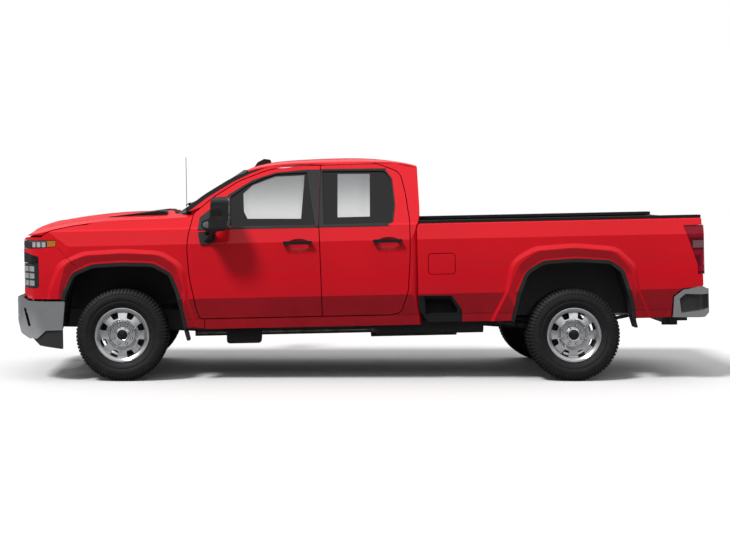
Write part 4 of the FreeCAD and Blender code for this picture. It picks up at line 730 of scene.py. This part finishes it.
def lathe(section, steps=64):
    """A closed section of (along the axle, radius) turned about the Y axis."""
    turned = bmesh.new()
    dots = [turned.verts.new((0, along, radius)) for along, radius in section]
    for first, second in zip(dots, dots[1:] + dots[:1]):
        turned.edges.new((first, second))
    bmesh.ops.spin(turned, geom=turned.verts[:] + turned.edges[:], cent=(0, 0, 0),
                   axis=(0, 1, 0), angle=math.tau, steps=steps, use_merge=True)
    bmesh.ops.remove_doubles(turned, verts=turned.verts, dist=1e-5)
    return turned


def rod(start, end, radius, sides=12):
    """A round bar between two points."""
    run = Vector(end) - Vector(start)
    bar = bmesh.new()
    bmesh.ops.create_cone(bar, cap_ends=True, segments=sides, radius1=radius, radius2=radius,
                          depth=run.length)
    turn = run.to_track_quat("Z", "Y").to_matrix().to_4x4()
    middle = (Vector(start) + Vector(end)) / 2
    bmesh.ops.transform(bar, matrix=Matrix.Translation(middle) @ turn, verts=bar.verts)
    return bar


def gather(*parts):
    """Several meshes as one."""
    whole = bmesh.new()
    for part in parts:
        carrier = bpy.data.meshes.new("carrier")
        part.to_mesh(carrier)
        whole.from_mesh(carrier)
        bpy.data.meshes.remove(carrier)
    return whole


def moved(part, matrix):
    twin = part.copy()
    bmesh.ops.transform(twin, matrix=matrix, verts=twin.verts)
    return twin


def both(part):
    """A piece of the left side, and its twin on the right."""
    return gather(part, moved(part, Matrix.Scale(-1, 4, (0, 1, 0))))


def sliced(part, axis, stations):
    """Cut across at the stations, so that a flat plate can bend there."""
    way = PUT[axis](0, 0, 1)
    for at in stations:
        everything = part.verts[:] + part.edges[:] + part.faces[:]
        bmesh.ops.bisect_plane(part, geom=everything, plane_co=PUT[axis](0, 0, at), plane_no=way)
    return part


def on_side(part):
    """Lay a piece that is drawn round y = 0 onto the body side."""
    sliced(part, "Z", [z for _, z in SIDE_PROFILE])
    for vert in part.verts:
        vert.co.y += side_y(vert.co.z)
    return part


MADE = []


def into_scene(name, shape):
    """A bmesh as a new object in the scene."""
    mesh = bpy.data.meshes.new(name)
    shape.to_mesh(mesh)
    shape.free()
    return added(name, mesh)


def piece(name, part, body, material, side=1, level=True):
    """A finished mesh as one piece that rides on a body."""
    if side < 0:
        bmesh.ops.scale(part, vec=(1, -1, 1), verts=part.verts)
    if level:
        bmesh.ops.transform(part, matrix=RAKED, verts=part.verts)
    bmesh.ops.remove_doubles(part, verts=part.verts, dist=1e-6)
    bmesh.ops.recalc_face_normals(part, faces=part.faces)
    made = into_scene(name, part)
    made.data.shade_smooth()
    made.data.set_sharp_from_angle(angle=SHARP)
    made.data.materials.append(FINISH[material])
    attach(made, body)
    MADE.append(name)
    return made


def lay_on(part, node, way, lift=0.0):
    """Drop a level piece, drawn at height 0 along way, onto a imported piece's surface."""
    bmesh.ops.transform(part, matrix=RAKED, verts=part.verts)
    target = frame["nodes"][node]
    way = Vector(way)
    for vert in part.verts:
        above = vert.co - way * vert.co.dot(way)
        height = (RAKED.inverted() @ vert.co).dot(way)
        hit, spot, _, _ = target.ray_cast(above + way * 3.0, -way)
        if hit:
            vert.co = spot + way * (height + lift)
    return part


print("helpers ready")

# %% [markdown]
# A tyre is a carcass with blocks of tread on it. The carcass is one turned section; the
# tread is one pitch of five skewed blocks and a shoulder block at each end, repeated round
# it. Real blocks are moulded with the carcass, but separate closed blocks look the same and
# cost a few faces each.

# %% Tyres
TYRE_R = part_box("tyre_front_left")[1][2] - WHEEL_Z
TREAD_DEPTH = 0.008
PITCHES = 78
TYRE_HALF = [(0.0, 0.411), (0.098, 0.410), (0.112, 0.404), (0.122, 0.392), (0.129, 0.374),
             (0.134, 0.352), (0.1352, 0.336), (0.133, 0.322), (0.1275, 0.312), (0.1265, 0.306),
             (0.1285, 0.302), (0.126, 0.290), (0.118, 0.272), (0.110, 0.262), (0.1085, 0.256),
             (0.1065, 0.2535), (0.1015, 0.2475), (0.0948, 0.229)]
BLOCKS = [(0.0, 0.0195, 0.62, 0.30), (0.041, 0.0175, 0.70, -0.34),
          (-0.041, 0.0175, 0.70, -0.34), (0.0815, 0.0175, 0.66, 0.22),
          (-0.0815, 0.0175, 0.66, 0.22)]
SHOULDER = [(0.1015, 0.404), (0.1015, 0.4205), (0.1065, 0.4185), (0.1215, 0.402),
            (0.1302, 0.385), (0.1325, 0.374), (0.128, 0.373), (0.118, 0.388)]
SKEW_REACH = 0.012
ROOT_DEPTH = 0.004


def tread_block(middle, half, share, skew):
    """One block: its place across the tread, half width, share of the pitch, and skew."""
    reach = math.pi * TYRE_R / PITCHES * share
    lean = skew * SKEW_REACH
    corners = [(-reach + lean, middle - half), (reach + lean, middle - half),
               (reach - lean, middle + half), (-reach - lean, middle + half)]
    return slab(corners, "Z", TYRE_R - TREAD_DEPTH - ROOT_DEPTH, TYRE_R, 0.0015)


def shoulder_block(way):
    """The outermost block, which runs down the wall."""
    reach = math.pi * 0.4 / PITCHES * 0.6
    return slab([(y * way, z) for y, z in SHOULDER], "X", -reach, reach, 0.0012)


carcass = lathe(TYRE_HALF + [(-y, r) for y, r in reversed(TYRE_HALF[1:])], 96)
pitch = gather(*[tread_block(*block) for block in BLOCKS],
               shoulder_block(1), shoulder_block(-1))
tyre_mesh = gather(carcass, *[moved(pitch, Matrix.Rotation(math.tau * i / PITCHES, 4, "Y"))
                              for i in range(PITCHES)])
HUBS = {"front": Matrix.Translation((FRONT_X, WHEEL_Y, WHEEL_Z)),
        "rear": Matrix.Translation((REAR_X, WHEEL_Y, WHEEL_Z))}
for end, hub in HUBS.items():
    for side_name, side in SIDES.items():
        made = piece(f"tyre_tread_{end}_{side_name}", moved(tyre_mesh, hub),
                     f"wheel_{end}_{side_name}", "tyre", side, level=False)
        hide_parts(f"tyre_{end}_{side_name}")
print("tyre faces", len(tyre_mesh.faces))

# %% [markdown]
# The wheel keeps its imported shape. What it lacks is small: eight nuts in their pockets, the
# black hub cap with its bright bezel, and the bright bead ring on the rim.

# %% Wheel nuts, hub caps and rings
HUB_FACE = 0.042
NUT_CIRCLE = 0.089
NUTS = 8
NUT_R = 0.0105
STUD_R = 0.0062
CAP = [(0.030, 0.0002), (0.100, 0.0002), (0.099, 0.020), (0.096, 0.036), (0.0915, 0.0465),
       (0.088, 0.0475), (0.030, 0.0475)]
CAP_RING = [(0.086, 0.047), (0.0925, 0.0478), (0.0945, 0.051), (0.0925, 0.055),
            (0.086, 0.0575), (0.080, 0.055)]
BOSS = [(0.0995, 0.0002), (0.1015, 0.0002), (0.1012, 0.017), (0.0995, 0.020)]
BEAD = [(0.1108, 0.2375), (0.1135, 0.239), (0.1142, 0.2435), (0.1125, 0.2475), (0.109, 0.247)]
nut = slab(hexagon(NUT_R), "Y", HUB_FACE - 0.002, HUB_FACE + 0.020, 0.0012)
stud = rod((0, HUB_FACE, 0), (0, HUB_FACE + 0.027, 0), STUD_R)
nuts = gather(*[moved(part, Matrix.Rotation(math.tau * (i + 0.5) / NUTS, 4, "Y")
                      @ Matrix.Translation((0, 0, NUT_CIRCLE)))
                for i in range(NUTS) for part in (nut, stud)])
bright = gather(lathe(CAP_RING), lathe(BEAD, 96), nuts)
dark = gather(lathe(CAP, 48), lathe(BOSS, 48))
for end, hub in HUBS.items():
    for side_name, side in SIDES.items():
        label, body = f"{end}_{side_name}", f"wheel_{end}_{side_name}"
        piece(f"wheel_bright_{label}", moved(bright, hub), body, "chrome", side, level=False)
        piece(f"hub_cap_{label}", moved(dark, hub), body, "black_gloss", side, level=False)
print("nuts", NUTS * 4)

# %% [markdown]
# Round the side windows runs a black band: weather strip at the sill, a black border on the
# glass that is partly its seals and partly painted shade of the frame behind, and black film
# on the pillar between the doors. On the truck these are thin parts laid on the door, so here
# they are plates that stand out two millimetres, bent onto it.

# %% Window trim and seals
FRONT_WINDOW = [(1.200, 1.384, 0.030), (1.196, 1.667, 0.015), (1.035, 1.775), (0.873, 1.845),
                (0.749, 1.876), (0.462, 1.886, 0.012), (0.400, 1.378, 0.012)]
REAR_WINDOW = [(0.345, 1.380, 0.012), (0.345, 1.892, 0.012), (-0.251, 1.884, 0.030),
               (-0.310, 1.800, 0.040), (-0.325, 1.560), (-0.300, 1.400, 0.020), (-0.252, 1.384)]
TRIM_OUT = 0.0022
SAIL = [(1.197, 1.366), (1.489, 1.362), (1.468, 1.481), (1.199, 1.684)]
FRONT_TOP = [(1.199, 1.664), (1.199, 1.686), (0.980, 1.813), (0.768, 1.877), (0.503, 1.899),
             (0.462, 1.899), (0.462, 1.883), (0.749, 1.873), (0.873, 1.842), (1.035, 1.772)]
FRONT_SILL = [(0.388, 1.366), (1.200, 1.368), (1.200, 1.386), (0.388, 1.382)]
PILLAR_FRONT = [(0.387, 1.367), (0.402, 1.367), (0.464, 1.899), (0.356, 1.899)]
PILLAR_REAR = [(0.343, 1.367), (0.379, 1.367), (0.3485, 1.902), (0.343, 1.902)]
REAR_SILL = [(-0.254, 1.366), (0.345, 1.367), (0.345, 1.383), (-0.254, 1.388)]
REAR_TOP = [(-0.250, 1.881), (0.345, 1.889), (0.345, 1.902), (-0.262, 1.896)]


def trim_plate(points):
    return on_side(sliced(slab(points, "Y", -0.001, TRIM_OUT), "X", [1.0, 0.6, 0.0]))


def window_seal(points):
    return on_side(ring(points, "Y", -0.0155, 0.0005, 0.012, 0.002))


DOORS = {"front": ((SAIL, FRONT_TOP, FRONT_SILL, PILLAR_FRONT), FRONT_WINDOW),
         "rear": ((PILLAR_REAR, REAR_SILL, REAR_TOP), REAR_WINDOW)}
for side_name, side in SIDES.items():
    for end, (plates, window) in DOORS.items():
        body = f"door_{end}_{side_name}"
        trim = gather(*[trim_plate(points) for points in plates])
        piece(f"window_trim_{end}_{side_name}", trim, body, "rubber_seal", side)
        piece(f"window_seal_{end}_{side_name}", window_seal(window), body, "rubber_seal", side)
print("trim pieces", len(MADE))

# %% [markdown]
# A lamp looks deep because there is something behind its lens. Each bowl here is the lens's
# own solid drawn in by a few millimetres, and its finish changes along it: gloss black,
# bright bowls and an amber end in front; red, white and dark blocks behind.


# %% Lamp bowls
def inner_copy(node, depth):
    """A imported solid's surface drawn inwards, as the bowl behind a lens."""
    bowl = bmesh.new()
    bowl.from_mesh(frame["nodes"][node].data)
    bmesh.ops.remove_doubles(bowl, verts=bowl.verts, dist=1e-5)
    bowl.normal_update()
    moves = [v.normal * (depth * min(v.calc_shell_factor(), 1.6)) for v in bowl.verts]
    for vert, move in zip(bowl.verts, moves):
        vert.co -= move
    return bowl


def bars(value, edges, soft=0.002):
    """1 between each pair of edges along a value."""
    return reduce(Value.most, [value.past(low, soft) * (1 - value.past(high - soft, soft))
                               for low, high in edges])


LAMP_SHELF = 1.16
AMBER_END = 2.862


def headlamp_bowls(t):
    x, y, z = level_axes(t)
    upper = z.past(LAMP_SHELF)
    amber = upper * (1 - x.past(AMBER_END, 0.002))
    bowls = bars(x, [(2.876, 2.914), (2.924, 2.962), (2.972, 3.006)]) * bars(z, [(1.238, 1.286)])
    line = bars(z, [(1.226, 1.231), (1.292, 1.296)]) * (1 - x.past(3.05, 0.01))
    tall = (1 - upper) * bars(z, [(0.885, 0.935), (0.950, 1.000), (1.015, 1.065)])
    tall = tall * bars(y, [(0.745, 0.860), (0.875, 0.955)])
    bright = (bowls.most(line) * upper).most(tall * 0.8) * (1 - amber)
    colour = bright.mix((0.012, 0.012, 0.013), (0.92, 0.93, 0.95))
    flutes = ((x + y) * 900.0).sine()
    return {"Base Color": amber.mix(colour, (1.0, 0.30, 0.010)), "Metallic": bright * 0.2,
            "Roughness": 0.18, "Normal": t.bump(flutes, 0.2, 0.001)}


def tail_lamp_bowls(t):
    x, y, z = level_axes(t)
    red = bars(z, [(1.206, 1.305), (0.900, 1.092)])
    core = bars(z, [(0.945, 1.050)]) * bars(x, [(-3.085, -3.030)])
    white = bars(z, [(1.112, 1.180)]) * (1 - x.past(-3.02, 0.01))
    colour = red.mix((0.020, 0.001, 0.004), (0.60, 0.006, 0.050))
    colour = core.mix(colour, (0.10, 0.001, 0.012))
    flutes = (z * 700.0).sine()
    return {"Base Color": white.mix(colour, (0.34, 0.30, 0.31)), "Roughness": 0.2,
            "Normal": t.bump(flutes, 0.3, 0.001)}


finish(headlamp_bowls)
finish(tail_lamp_bowls)
piece("headlamp_bowls", inner_copy("headlamps", 0.006), "root", "headlamp_bowls", level=False)
piece("tail_lamp_bowls", inner_copy("tail_lamps", 0.004), "root", "tail_lamp_bowls", level=False)
print("lamp bowls", len(MADE))

# %% [markdown]
# The hood has a vent on each side of its raised middle: a black bezel that grows taller
# towards the rear, with slats. A dark slot at the front is laid on point by point.

# %% Hood vents and front slot
VENT = [(2.330, 1.500), (2.206, 1.474), (1.906, 1.484), (1.772, 1.500), (1.790, 1.5435),
        (1.862, 1.5475)]
VENT_IN = 0.492
VENT_OUT = 0.735
SLATS = 13
SLAT_FOOT = 1.480
SLOT = [(2.880, -0.190, 0.02), (3.020, -0.150, 0.02), (3.020, 0.150, 0.02), (2.880, 0.190, 0.02)]


def slat(x, top):
    """A leaning slat on the vent's outer face."""
    corners = [(x, SLAT_FOOT), (x + 0.006, SLAT_FOOT), (x + 0.012, top), (x + 0.006, top)]
    return slab(corners, "Y", VENT_OUT - 0.002, VENT_OUT + 0.003)


slats = [slat(1.815 + 0.030 * i, 1.535 - 0.0028 * i) for i in range(SLATS)]
vents = both(gather(slab(VENT, "Y", VENT_IN, VENT_OUT, 0.004), *slats))
piece("hood_vents", vents, "hood", "black_gloss")
slot = slab(SLOT, "Z", 0.0, 0.003, 0.001)
sliced(slot, "X", [2.90 + 0.02 * i for i in range(6)])
sliced(slot, "Y", [-0.15 + 0.05 * i for i in range(7)])
slot = lay_on(slot, "hood", (0, 0, 1), 0.0006)
piece("hood_front_slot", slot, "hood", "black_gloss", level=False)
print("slats a side", SLATS)

# %% [markdown]
# The wipers rest low on the glass, over the black cowl. Each is drawn flat in plan, a blade
# and an arm, then cut across and dropped onto the windshield so that it follows the curve.

# %% Wipers
BLADE_WIDE = 0.016
ARM_WIDE = 0.012


def wiper(tip, middle, end, pivot):
    """A blade between two points of the plan, and its arm from the pivot."""
    (ax, ay), (bx, by) = tip, end
    blade = slab([(ax, ay), (ax + BLADE_WIDE, ay), (bx + BLADE_WIDE, by), (bx, by)], "Z",
                 0.004, 0.020, 0.003)
    sliced(blade, "Y", [ay + (by - ay) * k / 6 for k in range(1, 6)])
    (px, py), (mx, my) = pivot, middle
    arm = slab([(px - 0.010, py), (px + ARM_WIDE, py), (mx + ARM_WIDE, my), (mx, my)], "Z",
               0.018, 0.030, 0.003)
    sliced(arm, "Y", [py + (my - py) * k / 5 for k in range(1, 5)])
    return gather(blade, arm)


wipers = gather(wiper((1.575, 0.620), (1.618, 0.360), (1.640, 0.060), (1.668, 0.080)),
                wiper((1.640, -0.020), (1.610, -0.330), (1.560, -0.600), (1.600, -0.640)))
laid = lay_on(wipers, "cab_glass", (0, 0, 1))
piece("wipers", laid, "root", "black_plastic", level=False)
print("hood and cowl", len(MADE))

# %% [markdown]
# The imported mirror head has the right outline, so it keeps its shape and gains what shows on
# it: lamp strips near the top, cooling ribs, a grey puddle-lamp block, and on its rear face
# a tall flat glass over a small wide-angle one.

# %% Mirrors
LAMP_STRIPS = [slanting(1.245, 1.338, 1.612, 0.006, 0.010),
               slanting(1.245, 1.340, 1.566, 0.006, 0.010)]
RIBS = [slanting(1.250, 1.345, z, 0.003, 0.004) for z in (1.500, 1.514, 1.528, 1.542)]
GREY_BLOCK = [(1.372, 1.386, 0.008), (1.424, 1.402, 0.012), (1.420, 1.440, 0.010),
              (1.372, 1.452, 0.008)]
GLASS_TOP = [(1.146, 1.484, 0.02), (1.316, 1.484, 0.02), (1.322, 1.626, 0.02),
             (1.150, 1.626, 0.02)]
GLASS_LOW = [(1.140, 1.376, 0.02), (1.304, 1.380, 0.02), (1.312, 1.466, 0.02),
             (1.142, 1.466, 0.02)]
OUTER_TRIM = {"lamps": (LAMP_STRIPS, "lamp_clear"), "ribs": (RIBS, "black_gloss"),
              "block": ([GREY_BLOCK], "grey_plastic")}
for side_name, side in SIDES.items():
    head, body = f"mirror_{side_name}", f"door_front_{side_name}"
    low, high = (0.0, 0.003) if side > 0 else (-0.003, 0.0)
    for what, (outlines, material) in OUTER_TRIM.items():
        plates = gather(*[slab(points, "Y", low, high, 0.001) for points in outlines])
        laid = lay_on(plates, head, (0, side, 0))
        piece(f"mirror_{what}_{side_name}", laid, body, material, level=False)
    glass = gather(*[slab([(y * side, z, r) for y, z, r in points], "X", -0.003, 0.0, 0.0012)
                     for points in (GLASS_TOP, GLASS_LOW)])
    laid = lay_on(sliced(glass, "Z", [1.42, 1.55]), head, (-1, 0, 0))
    piece(f"mirror_glass_{side_name}", laid, body, "mirror_face", level=False)
print("mirrors", len(MADE))

# %% [markdown]
# Inboard of the front wheels a moulded liner closes the engine bay, or daylight would show
# through the arch and the hood's cut. A cover lies under the hood's front lip, and a rubber
# block fills the corner between cowl and pillar. Below the cab hang a black reservoir and
# its bracket, and the frame's joints are bolted, with heads that show in the rear arch.

# %% Liners, seals, reservoir and frame bolts
LINER = [(1.70, 0.66, 0.05), (2.93, 0.66, 0.05), (2.93, 1.22), (2.97, 1.352), (2.86, 1.396),
         (2.70, 1.423), (2.50, 1.448), (2.25, 1.460), (1.70, 1.43)]
COVER = [(3.075, 0.0), (3.066, 0.45), (3.046, 0.79), (3.028, 0.88), (3.000, 0.925),
         (2.90, 0.925), (2.90, 0.0)]
CORNER = [(1.470, 1.490), (1.640, 1.490), (1.600, 1.530), (1.560, 1.558), (1.500, 1.585),
          (1.470, 1.585)]
RAIL_OUT = 0.432
TANK = oblong(0.925, 0.302, 1.250, 0.455, 0.03)
BRACKET = oblong(1.060, 0.455, 1.120, 0.500)
BOLT_R = 0.013
BOLT_X = [2.45, 2.30, 1.30, 0.30, -0.70, -1.33, -1.62, -1.70, -2.18, -2.26, -2.48, -2.84]
KICK_UP_X = -1.4
piece("engine_bay_liners", both(slab(LINER, "Y", 0.455, 0.461, 0.002)), "root", "black_plastic")
piece("nose_cover", both(slab(COVER, "Z", 1.318, 1.338, 0.003)), "root", "black_plastic")
piece("pillar_base_seals", both(slab(CORNER, "Y", 0.852, 0.864, 0.002)), "root", "rubber_seal")
reservoir = gather(slab(TANK, "Y", RAIL_OUT, 0.780, 0.012),
                   slab(BRACKET, "Y", RAIL_OUT, 0.700, 0.003))
piece("under_cab_reservoir", reservoir, "root", "tank_plastic")
heads = []
for x in BOLT_X:
    z = 0.49 if x > KICK_UP_X else 0.62
    for row in (-0.045, 0.045):
        head = hexagon(BOLT_R, x, z + row)
        heads.append(slab(head, "Y", RAIL_OUT, RAIL_OUT + 0.009, 0.0015))
piece("frame_bolts", both(gather(*heads)), "root", "exhaust_steel")
print("under the body", len(MADE))

# %% [markdown]
# The load bed ends in details that hands and feet use: rubber treads on the bumper step,
# four tie-down loops, a gloss pull handle in the tailgate, and a brake lamp over the window.

# %% Bed and tailgate fittings
TREAD = oblong(-3.196, 0.20, -3.126, 0.72, 0.012)
RIDGE_X = [-3.190 + 0.0135 * i for i in range(5)]
LOOP_X = (-0.72, -2.88)
LOOP_Y, LOOP_Z = 0.905, 1.22
LOOP_OUT = 0.040
WIRE_R = 0.006
PULL = oblong(-0.105, 1.279, 0.105, 1.319, 0.012)
GATE_SKIN_X = -3.103
BRAKE_LAMP = oblong(-0.190, 1.850, 0.190, 1.880, 0.010)
LAMP_FACE_X = -0.5445
tread = sliced(slab(TREAD, "Z", 0.0, 0.004, 0.0015), "X", [-3.18, -3.16, -3.145])
ridges = [slab(oblong(x, 0.22, x + 0.006, 0.70), "Z", 0.003, 0.007, 0.001) for x in RIDGE_X]
laid = lay_on(both(gather(tread, *ridges)), "rear_bumper", (0, 0, 1))
piece("step_treads", laid, "root", "black_plastic", level=False)
loops = []
for x in LOOP_X:
    for side in (1, -1):
        y, out = side * LOOP_Y, side * (LOOP_Y - LOOP_OUT)
        loops += [rod((x + leg, y, LOOP_Z), (x + leg, out, LOOP_Z), WIRE_R)
                  for leg in (-0.03, 0.03)]
        loops.append(rod((x - 0.036, out, LOOP_Z), (x + 0.036, out, LOOP_Z), WIRE_R))
piece("tie_down_loops", gather(*loops), "root", "chrome")
pull = slab(PULL, "X", GATE_SKIN_X + 0.004, GATE_SKIN_X + 0.025, 0.004)
piece("tailgate_pull", pull, "tailgate", "black_gloss")
bezel = ring(BRAKE_LAMP, "X", -0.5525, LAMP_FACE_X, 0.005, 0.001)
piece("high_brake_lamp_frame", bezel, "root", "black_gloss")
piece("high_brake_lamp", slab(BRAKE_LAMP, "X", -0.550, LAMP_FACE_X, 0.001), "root", "lamp_red")
print("bed fittings", len(MADE))

# %% [markdown]
# Seats are foam under cloth, so they bulge between their seams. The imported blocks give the
# size; here their skin is remeshed into even quads, drawn in a little, and blown up as
# cloth by a slight pressure with gravity off. How far a point may travel is capped.


# %% Padded seats
SEAT_VOXEL = 0.016
SEAT_INSET = 0.008
SEAT_CAP = 0.014
SEAT_PRESSURE = 4.0
CLOTH_FRAMES = 12


def seat_skin():
    """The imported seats' skin, remeshed and drawn in."""
    skin = bmesh.new()
    skin.from_mesh(frame["nodes"]["seats"].data)
    bmesh.ops.remove_doubles(skin, verts=skin.verts, dist=1e-5)
    made = into_scene("seat_cushions", skin)
    remesh = made.modifiers.new("remesh", "REMESH")
    remesh.mode = "VOXEL"
    remesh.voxel_size = SEAT_VOXEL
    smooth = made.modifiers.new("smooth", "SMOOTH")
    smooth.factor = 0.5
    smooth.iterations = 5
    inset = made.modifiers.new("inset", "DISPLACE")
    inset.strength = -SEAT_INSET
    inset.mid_level = 0.0
    settle(made)
    return made


def settle(made):
    """Apply what the modifiers do to the mesh itself."""
    graph = bpy.context.evaluated_depsgraph_get()
    result = bpy.data.meshes.new_from_object(made.evaluated_get(graph))
    made.modifiers.clear()
    made.data = result


def blow_up(made):
    """Cloth under pressure, with every point's travel capped."""
    start = [v.co.copy() for v in made.data.vertices]
    cloth = made.modifiers.new("cloth", "CLOTH")
    cloth.settings.use_pressure = True
    cloth.settings.uniform_pressure_force = SEAT_PRESSURE
    cloth.settings.effector_weights.gravity = 0.0
    cloth.collision_settings.use_collision = False
    for at in range(1, CLOTH_FRAMES + 1):
        scene.frame_set(at)
    settle(made)
    scene.frame_set(1)
    for vert, home in zip(made.data.vertices, start):
        travel = vert.co - home
        if travel.length > SEAT_CAP:
            vert.co = home + travel.normalized() * SEAT_CAP


seat_cushions = seat_skin()
blow_up(seat_cushions)
seat_cushions.data.materials.clear()
seat_cushions.data.materials.append(FINISH["seat_cloth"])
seat_cushions.data.shade_smooth()
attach(seat_cushions, "root")
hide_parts("seats")
print("seat points", len(seat_cushions.data.vertices))

# %% [markdown]
# The floor is one flat sheet that runs out to the white backdrop. To the camera it is pale,
# and in reflections a mid grey that darkens with distance, as the street does in chrome. The
# light that it throws back up is kept low, so that the sills stay dark.

# %% Floor
FLOOR_SEEN = grey(0.72)
FLOOR_MIRRORED = (0.27, 0.27, 0.275)
FLOOR_FAR = (0.15, 0.15, 0.153)
FLOOR_GIVES = grey(0.10)
FLOOR_HALF = 60


def studio_floor(t):
    x, y, _ = t.axes()
    far = (x * x * 0.4 + y * y).rise(9.0, 45.0)
    gloss = far.mix(FLOOR_MIRRORED, FLOOR_FAR)
    seen = t.ray("Is Camera Ray").most(t.ray("Is Transmission Ray"))
    colour = seen.mix(t.ray("Is Glossy Ray").mix(FLOOR_GIVES, gloss), FLOOR_SEEN)
    return {"Base Color": colour, "Roughness": 1.0, "Specular IOR Level": 0.0}


finish(studio_floor)
sheet = bmesh.new()
bmesh.ops.create_grid(sheet, x_segments=1, y_segments=1, size=FLOOR_HALF)
floor_object = into_scene("floor", sheet)
floor_object.data.materials.append(FINISH["studio_floor"])
floor_object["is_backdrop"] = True
print("floor seen as", FLOOR_SEEN)

# %% [markdown]
# The light is a bright overcast sky with a broad sun from ahead and to the left, which
# throws the mirror's shadow back across the front door. The sky is written as a world
# colour that is white to the camera and softer to everything else.

# %% Light
SUN_WAY = Vector((-0.42, -0.46, -0.78))
SUN_STRENGTH = 2.8
SUN_ANGLE = math.radians(13)
SKY_SOFT = ((0.16, 0.16, 0.165), grey(0.95))
SKY_SHEEN = ((0.14, 0.14, 0.145), grey(1.0))


def studio_world():
    world = bpy.data.worlds.new("studio")
    world.use_nodes = True
    t = Value(world.node_tree)
    up = t.place("Generated").split()[2]
    soft = up.rise(0.0, 0.8).mix(*SKY_SOFT)
    sheen = up.rise(0.06, 0.50).mix(*SKY_SHEEN)
    lit = t.ray("Is Glossy Ray").mix(soft, sheen)
    seen = t.ray("Is Camera Ray").most(t.ray("Is Transmission Ray"))
    colour = seen.mix(lit, grey(1.0))
    t.tree.links.new(colour.socket, t.tree.nodes["Background"].inputs["Color"])
    scene.world = world


studio_world()
sun_data = bpy.data.lights.new("sun", "SUN")
sun_data.energy = SUN_STRENGTH
sun_data.angle = SUN_ANGLE
sun = added("sun", sun_data)
sun.rotation_euler = SUN_WAY.to_track_quat("-Z", "Y").to_euler()
scene.view_settings.view_transform = "Standard"
print("sun", tuple(SUN_WAY))

# %% [markdown]
# The dressed truck is measured: the box round every piece that is shown, the floor left out.

# %% Measure and close
low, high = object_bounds()
print("dressed from", tuple(low), "to", tuple(high))
